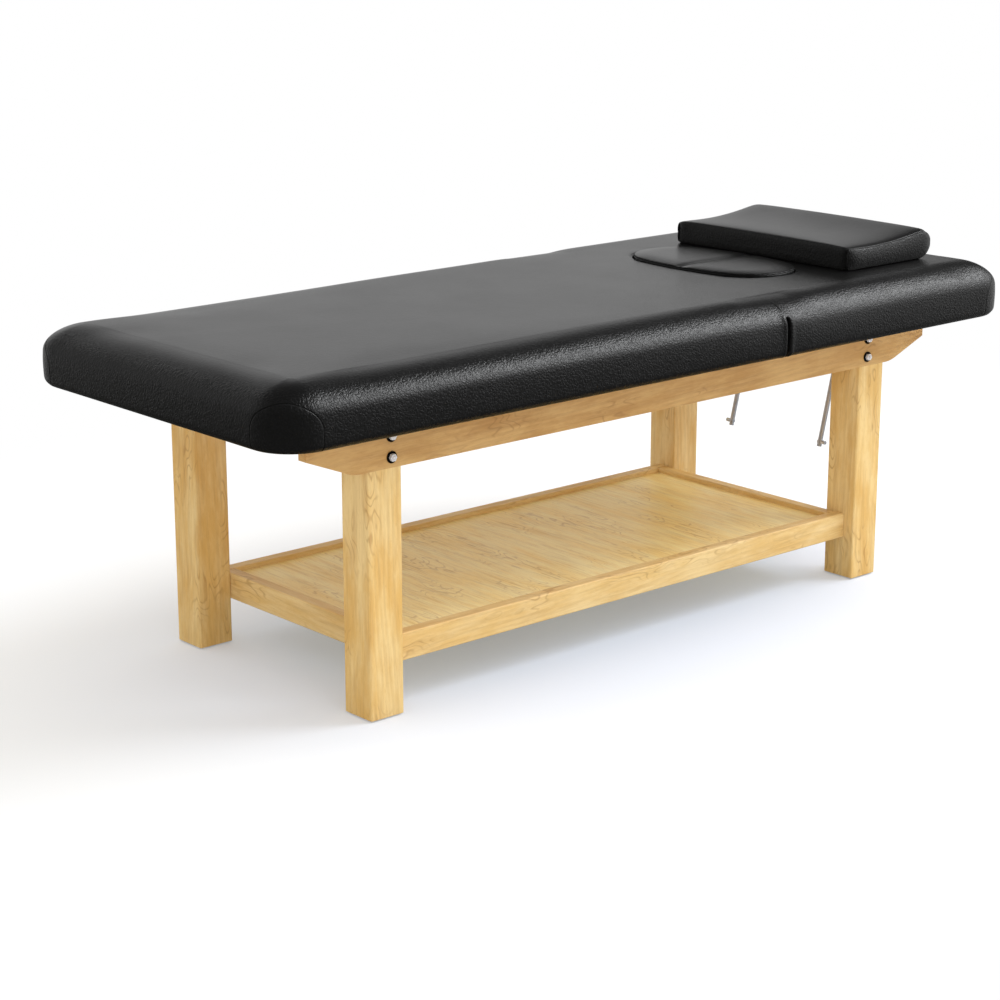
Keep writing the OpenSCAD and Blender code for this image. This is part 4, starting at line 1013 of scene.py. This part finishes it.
profile = over + under[-2:0:-1]
wrap_rings = []
for t in stations:
    ring = []
    for u, v in profile:
        inset = 1 - 0.0009 / 0.02 * max(0, abs(t) - 0.955) / 0.045
        ring.append(pillow_vert(0.5 + (u - 0.5) * inset, 0.5 + (v - 0.5) * inset, t * seam_half,
                                (1 - abs(t)) * seam_half, 1.0 if v < 0.02 else 0.65 if abs(t) == 1 else 0.0))
    wrap_rings.append(ring)
for a, b in zip(wrap_rings, wrap_rings[1:]):
    for k in range(len(profile)):
        n = (k + 1) % len(profile)
        pillow_faces.append([a[k], a[n], b[n], b[k]])
last = len(over) - 1
for side, ring in ((-1, wrap_rings[0]), (1, wrap_rings[-1])):
    upper = [ring[k] for k in range(last + 1)]
    lower = [ring[0]] + [ring[len(profile) - k] for k in range(1, last)] + [ring[last]]
    levels = [upper]
    for share in (0.08, 0.25, 0.5, 0.75, 0.92):
        level = [upper[0]]
        for k in range(1, last):
            (u0, v0), (u1, v1) = over[k], under[k]
            u, v = u0 + (u1 - u0) * share, v0 + (v1 - v0) * share
            rim_away = min(share, 1 - share) * 2
            edge_away = min(1, min(u, 1 - u) * 9)
            puff = end_bulge * (1 - (1 - rim_away) ** 2.6) * (1 - (1 - edge_away) ** 2)
            level.append(pillow_vert(u, v, side * (seam_half + puff * 1.1),
                                     min(rim_away * 0.025, min(u, 1 - u) * pillow_l) + 0.001, 0.0))
        level.append(upper[last])
        levels.append(level)
    levels.append(lower)
    for a, b in zip(levels, levels[1:]):
        for k in range(last):
            quad = without_repeats([a[k], b[k], b[k + 1], a[k + 1]])
            if len(quad) > 2:
                pillow_faces.append(quad)
pillow = mesh_object("head_pillow", pillow_verts, pillow_faces)
tidy_normals(pillow)
swell(pillow, pillow_hold, pillow_cap)
set_seam(pillow, np.array(pillow_seam))
subdivide(pillow, 2)
pillow.data.materials.append(black_vinyl)
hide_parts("pillow")
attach(pillow, "pillow")


# Staples
# The cover is turned under and stapled all round, up into the underside of each board. The
# two rows of staples ride with their own sections.
staple_half, wire_half, wire_deep, staple_step = 0.0055, 0.0005, 0.0007, 0.032
box_corners = ((-1, -1, 0), (1, -1, 0), (1, 1, 0), (-1, 1, 0), (-1, -1, -1), (1, -1, -1), (1, 1, -1),
               (-1, 1, -1))
box_faces = ((0, 1, 2, 3), (4, 7, 6, 5), (0, 4, 5, 1), (1, 5, 6, 2), (2, 6, 7, 3), (3, 7, 4, 0))


def staple_row(name, places, body):
    points, shapes = [], []
    for x, y, turn in places:
        base = len(points)
        for dx, dy, dz in box_corners:
            lx, ly = dx * staple_half, dy * wire_half
            points.append((x + lx * math.cos(turn) - ly * math.sin(turn),
                           y + lx * math.sin(turn) + ly * math.cos(turn),
                           cover_base - 0.0011 + dz * wire_deep))
        shapes += [[base + q for q in quad] for quad in box_faces]
    row = mesh_object(name, points, shapes, smooth=False)
    row.data.materials.append(zinc)
    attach(row, body)


staple_in, row_inset = corner - 0.048, 0.02
line_x, line_y = inner_x + staple_in, inner_y + staple_in


def staples_along(x0, x1):
    return [(x, side * line_y, 0.0) for x in spread(x0, x1, staple_step) for side in (-1, 1)]


def staples_at_end(x):
    ends = [(x, y, math.pi / 2) for y in spread(-inner_y + row_inset, inner_y - row_inset, staple_step)]
    for side in (-1, 1):
        for turn in np.radians([12, 30, 48, 66, 82]):
            ends.append((math.copysign(inner_x + staple_in * math.cos(turn), x),
                         side * (inner_y + staple_in * math.sin(turn)),
                         math.pi / 2 + math.copysign(turn, x * side)))
    return ends


main_line = staples_along(-inner_x + row_inset, slit_foot - row_inset)
staple_row("main_staples", main_line + staples_at_end(-line_x), "frame")
head_line = staples_along(slit_head + row_inset, inner_x - row_inset)
staple_row("backrest_staples", head_line + staples_at_end(line_x), "backrest")
